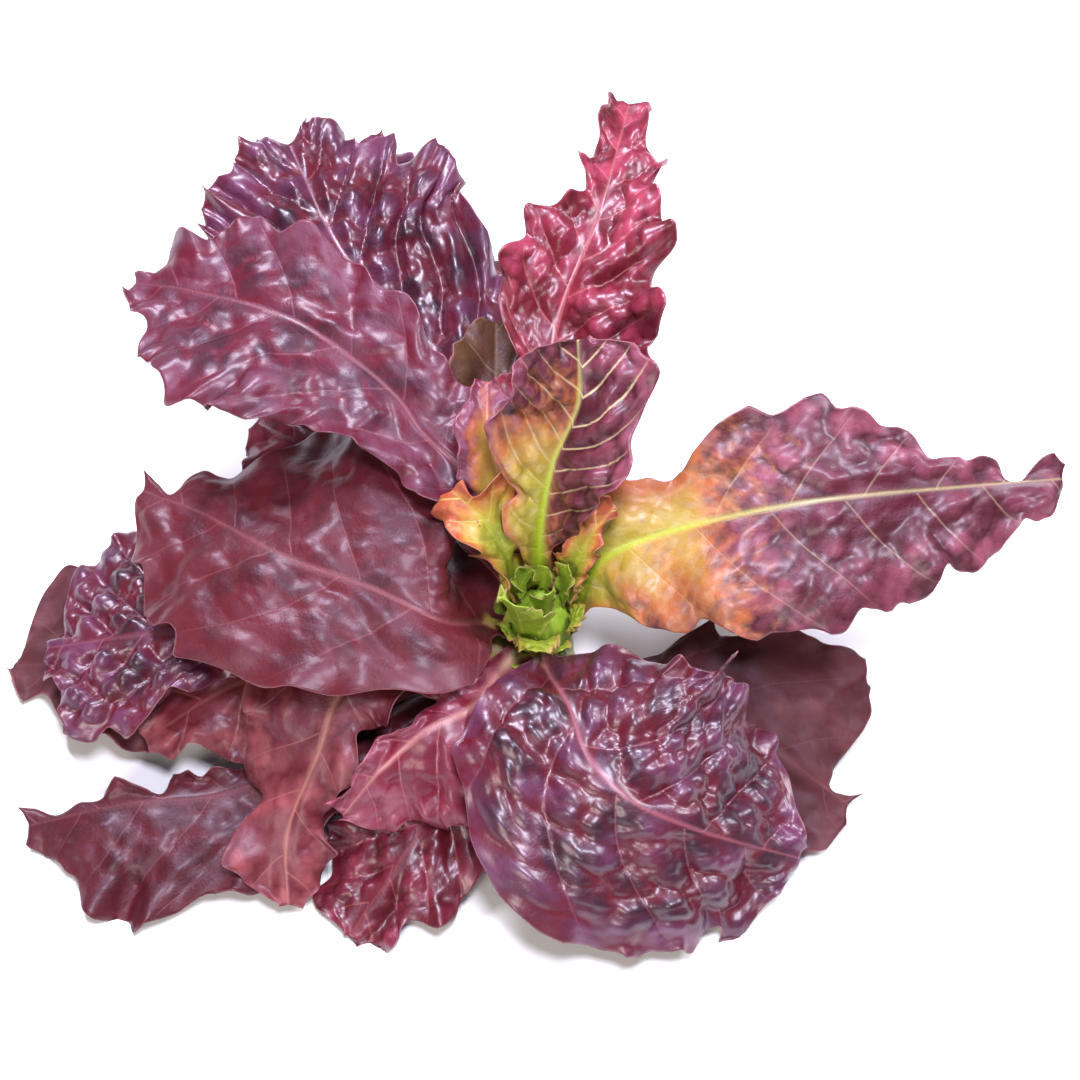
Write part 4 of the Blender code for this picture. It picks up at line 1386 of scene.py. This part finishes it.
def leaflet_points(u, v):
    """It stands on its foot at the origin, with its upper face turned to the stem."""
    width = LEAFLET_HALF_WIDTH * (0.4 + 0.6 * smooth(u / 0.5)) * (1 - 0.75 * np.abs(u - 0.1) ** 5)
    frill = 1.9 * np.sin(2 * np.pi * (5.2 * u + 0.3 * np.sign(v))) + 0.9 * np.sin(27 * u + 4 * np.sign(v))
    frill = frill * np.abs(v) ** 3 * smooth(u / 0.35)
    tips = 1.1 * teeth(LEAFLET_LENGTH * u + 40 * (v < 0), 3) * 0.4 * np.abs(v) * smooth(u / 0.3)
    y = v * (width + tips)
    out = 0.8 + 8.5 * u**2.4 + frill - LEAFLET_CUP * (1 - np.cos(y / LEAFLET_CUP)) * (1 - u)
    z = LEAFLET_LENGTH * (u - 0.12 * u**3) - 2.2 * np.abs(v) ** 2 * smooth(u / 0.4)
    return np.stack([out, y, z], -1)


def make_leaflet():
    u, v = np.meshgrid(np.linspace(0, 1, 41), np.linspace(-1, 1, 31), indexing="ij")
    points = leaflet_points(u, v)
    ahead = LEAFLET_LENGTH * u - 5.0 * np.abs(v)
    rib = np.exp(-((v / 0.13) ** 2)) * (1 - 0.7 * u)
    swell = 0.7 * np.abs(np.sin(np.pi * ahead / LEAFLET_PITCH)) * (1 - rib)
    points = points + vertex_normals(points) * swell[..., None]
    values = {
        "blade_at": np.stack([ahead / 8.0, v, 90 + 0 * v], -1),
        "red": smooth((u + 0.3 * np.abs(v) ** 3 - 1.0) / 0.4),
        "warm": 0.15 + 0.6 * np.abs(v) ** 3 * u,
        "rib": 0.8 * rib,
        "edge": (1 - np.abs(v)) * LEAFLET_HALF_WIDTH,
        "vein_step": ahead / LEAFLET_PITCH,
    }
    even = {"pitch": LEAFLET_PITCH, "vein": 0.6, "heat": 0.0, "shade": 0.0}
    values.update((key, np.full(u.shape, value)) for key, value in even.items())
    return closed_blade("half_grown_leaf", points, np.full(u.shape, 0.5), flat_values(values))


leaflet = make_leaflet()
print("half-grown leaf:", [round(size / MM, 1) for size in leaflet.dimensions], "mm")

# %% [markdown]
# The small leaf is made once, as a cupped and frilled sheet. The node tree then sets copies of it
# round the stem, so their number, height, lean and size can all be changed from its inputs.

# %% The golden angle tree
LEAFLET_INPUTS = (
    ("Count", "Int", 10),
    ("First Height", "Float", 0.024),
    ("Rise", "Float", 0.0026),
    ("Stem Radius", "Float", 0.0135),
    ("Taper", "Float", 0.0002),
    ("First Turn", "Float", 4.3),
    ("Lean", "Float", 0.16),
    ("Seed", "Int", 4),
    ("Leaf", "Object", None),
    ("Material", "Material", None),
)
TILTS = (-0.6, 1.4)
SIZES = (0.72, 1.08)


def golden_angle_tree():
    tree, given = start_tree("golden_angle_leaves", LEAFLET_INPUTS)
    node = partial(add_node, tree)
    index = node("GeometryNodeInputIndex")
    golden = float(np.radians(GOLDEN_ANGLE))
    turn = node("ShaderNodeMath", (index, golden, given["First Turn"]), operation="MULTIPLY_ADD")
    height = node("ShaderNodeMath", (index, given["Rise"], given["First Height"]), operation="MULTIPLY_ADD")
    taper = node("ShaderNodeMath", (index, given["Taper"]), operation="MULTIPLY")
    radius = node("ShaderNodeMath", (given["Stem Radius"], taper), operation="SUBTRACT")
    across, along = (
        node("ShaderNodeMath", (radius, node("ShaderNodeMath", (turn,), operation=wave)),
             operation="MULTIPLY")
        for wave in ("COSINE", "SINE")
    )
    place = node("ShaderNodeCombineXYZ", (across, along, height))
    points = node("GeometryNodePoints", {"Count": given["Count"], "Position": place})
    tilt, size = (
        node("FunctionNodeRandomValue", {2: crease_shade_and_crimson, 3: high, "Seed": given["Seed"]}, 1, data_type="FLOAT")
        for crease_shade_and_crimson, high in (TILTS, SIZES)
    )
    lean = node("ShaderNodeMath", (given["Lean"], tilt), operation="MULTIPLY")
    facing = node("ShaderNodeCombineXYZ", {1: lean, 2: turn})
    leaf = node("GeometryNodeObjectInfo", {"Object": given["Leaf"]}, "Geometry")
    copies = {"Points": points, "Instance": leaf, "Rotation": facing, "Scale": size}
    return end_tree(tree, node("GeometryNodeInstanceOnPoints", copies), given["Material"])


half_grown = add_object("half_grown_leaves", bpy.data.meshes.new("half_grown_leaves"))
modifier = half_grown.modifiers.new("golden_angle", "NODES")
modifier.node_group = golden_angle_tree()
set_inputs(modifier, Leaf=leaflet, Material=MATERIALS["green"])
plain_mesh(half_grown)
bpy.data.objects.remove(leaflet)
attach(half_grown, "root")
print("half-grown leaves:", len(half_grown.data.polygons), "faces")

# %% [markdown]
# ## Floor, light and camera
# The head lies on a plain pale floor under soft studio light. Broad cool lights make the lilac
# shine on the blisters, and a warmer one keeps the reds alive. The camera looks down on the head
# at sixty degrees, with a long lens.

# %% The stage
HEART = Vector((0.0, 0.0, 0.062))
SCALE = 0.42 * MM
ELEVATION = np.radians(60.0)
DISTANCE = 1.25
PIXELS = 1080
RAISED_PIXELS = 60
SENSOR = 36.0
# Each light: its place, its size, its power and its colour.
LIGHTS = {
    "cool_overhead": ((-0.45, 0.85, 1.35), 0.45, 34.0, "#eeecff"),
    "cool_side": ((1.0, 0.3, 1.2), 0.4, 16.0, "#f4f4ff"),
    "cool_top": ((0.15, -0.3, 1.6), 0.38, 27.0, "#eeecff"),
    "warm_front": ((-0.6, -1.2, 1.0), 0.6, 14.0, "#fff4ea"),
}


def add_floor():
    mesh = bpy.data.meshes.new("floor")
    mesh.from_pydata([(-6, -6, 0), (6, -6, 0), (6, 6, 0), (-6, 6, 0)], [], [(0, 1, 2, 3)])
    material, tree, shader = new_material("pale_floor")
    fill_inputs(tree, shader, {"Base Color": linear("#f4f4f4"), "Roughness": 0.9})
    mesh.materials.append(material)
    add_object("floor", mesh)


def turn_to(thing, way):
    thing.rotation_euler = way.to_track_quat("-Z", "Y").to_euler()


def add_light(name, place, size, power, colour):
    light = bpy.data.lights.new(name, "AREA")
    light.shape = "DISK"
    light.size = size
    light.energy = power
    light.color = linear(colour)[:3]
    lamp = add_object(name, light)
    lamp.location = place
    turn_to(lamp, HEART - Vector(place))


def add_camera():
    up = Vector((0, np.sin(ELEVATION), np.cos(ELEVATION)))
    back = Vector((0, -np.cos(ELEVATION), np.sin(ELEVATION)))
    camera = bpy.data.cameras.new("camera")
    camera.sensor_width = SENSOR
    camera.lens = SENSOR * DISTANCE / (PIXELS * SCALE)
    holder = add_object("camera", camera)
    holder.location = HEART + up * RAISED_PIXELS * SCALE + DISTANCE * back
    turn_to(holder, -back)
    bpy.context.scene.camera = holder


def add_world():
    world = bpy.data.worlds.new("studio")
    world.use_nodes = True
    background = world.node_tree.nodes["Background"]
    fill_inputs(world.node_tree, background, {"Color": linear("#f6f7ff"), "Strength": 0.2})
    bpy.context.scene.world = world


add_floor()
for name, light in LIGHTS.items():
    add_light(name, *light)
add_camera()
add_world()
bpy.context.scene.view_settings.view_transform = "Standard"
print("camera lens:", round(bpy.context.scene.camera.data.lens, 1), "mm")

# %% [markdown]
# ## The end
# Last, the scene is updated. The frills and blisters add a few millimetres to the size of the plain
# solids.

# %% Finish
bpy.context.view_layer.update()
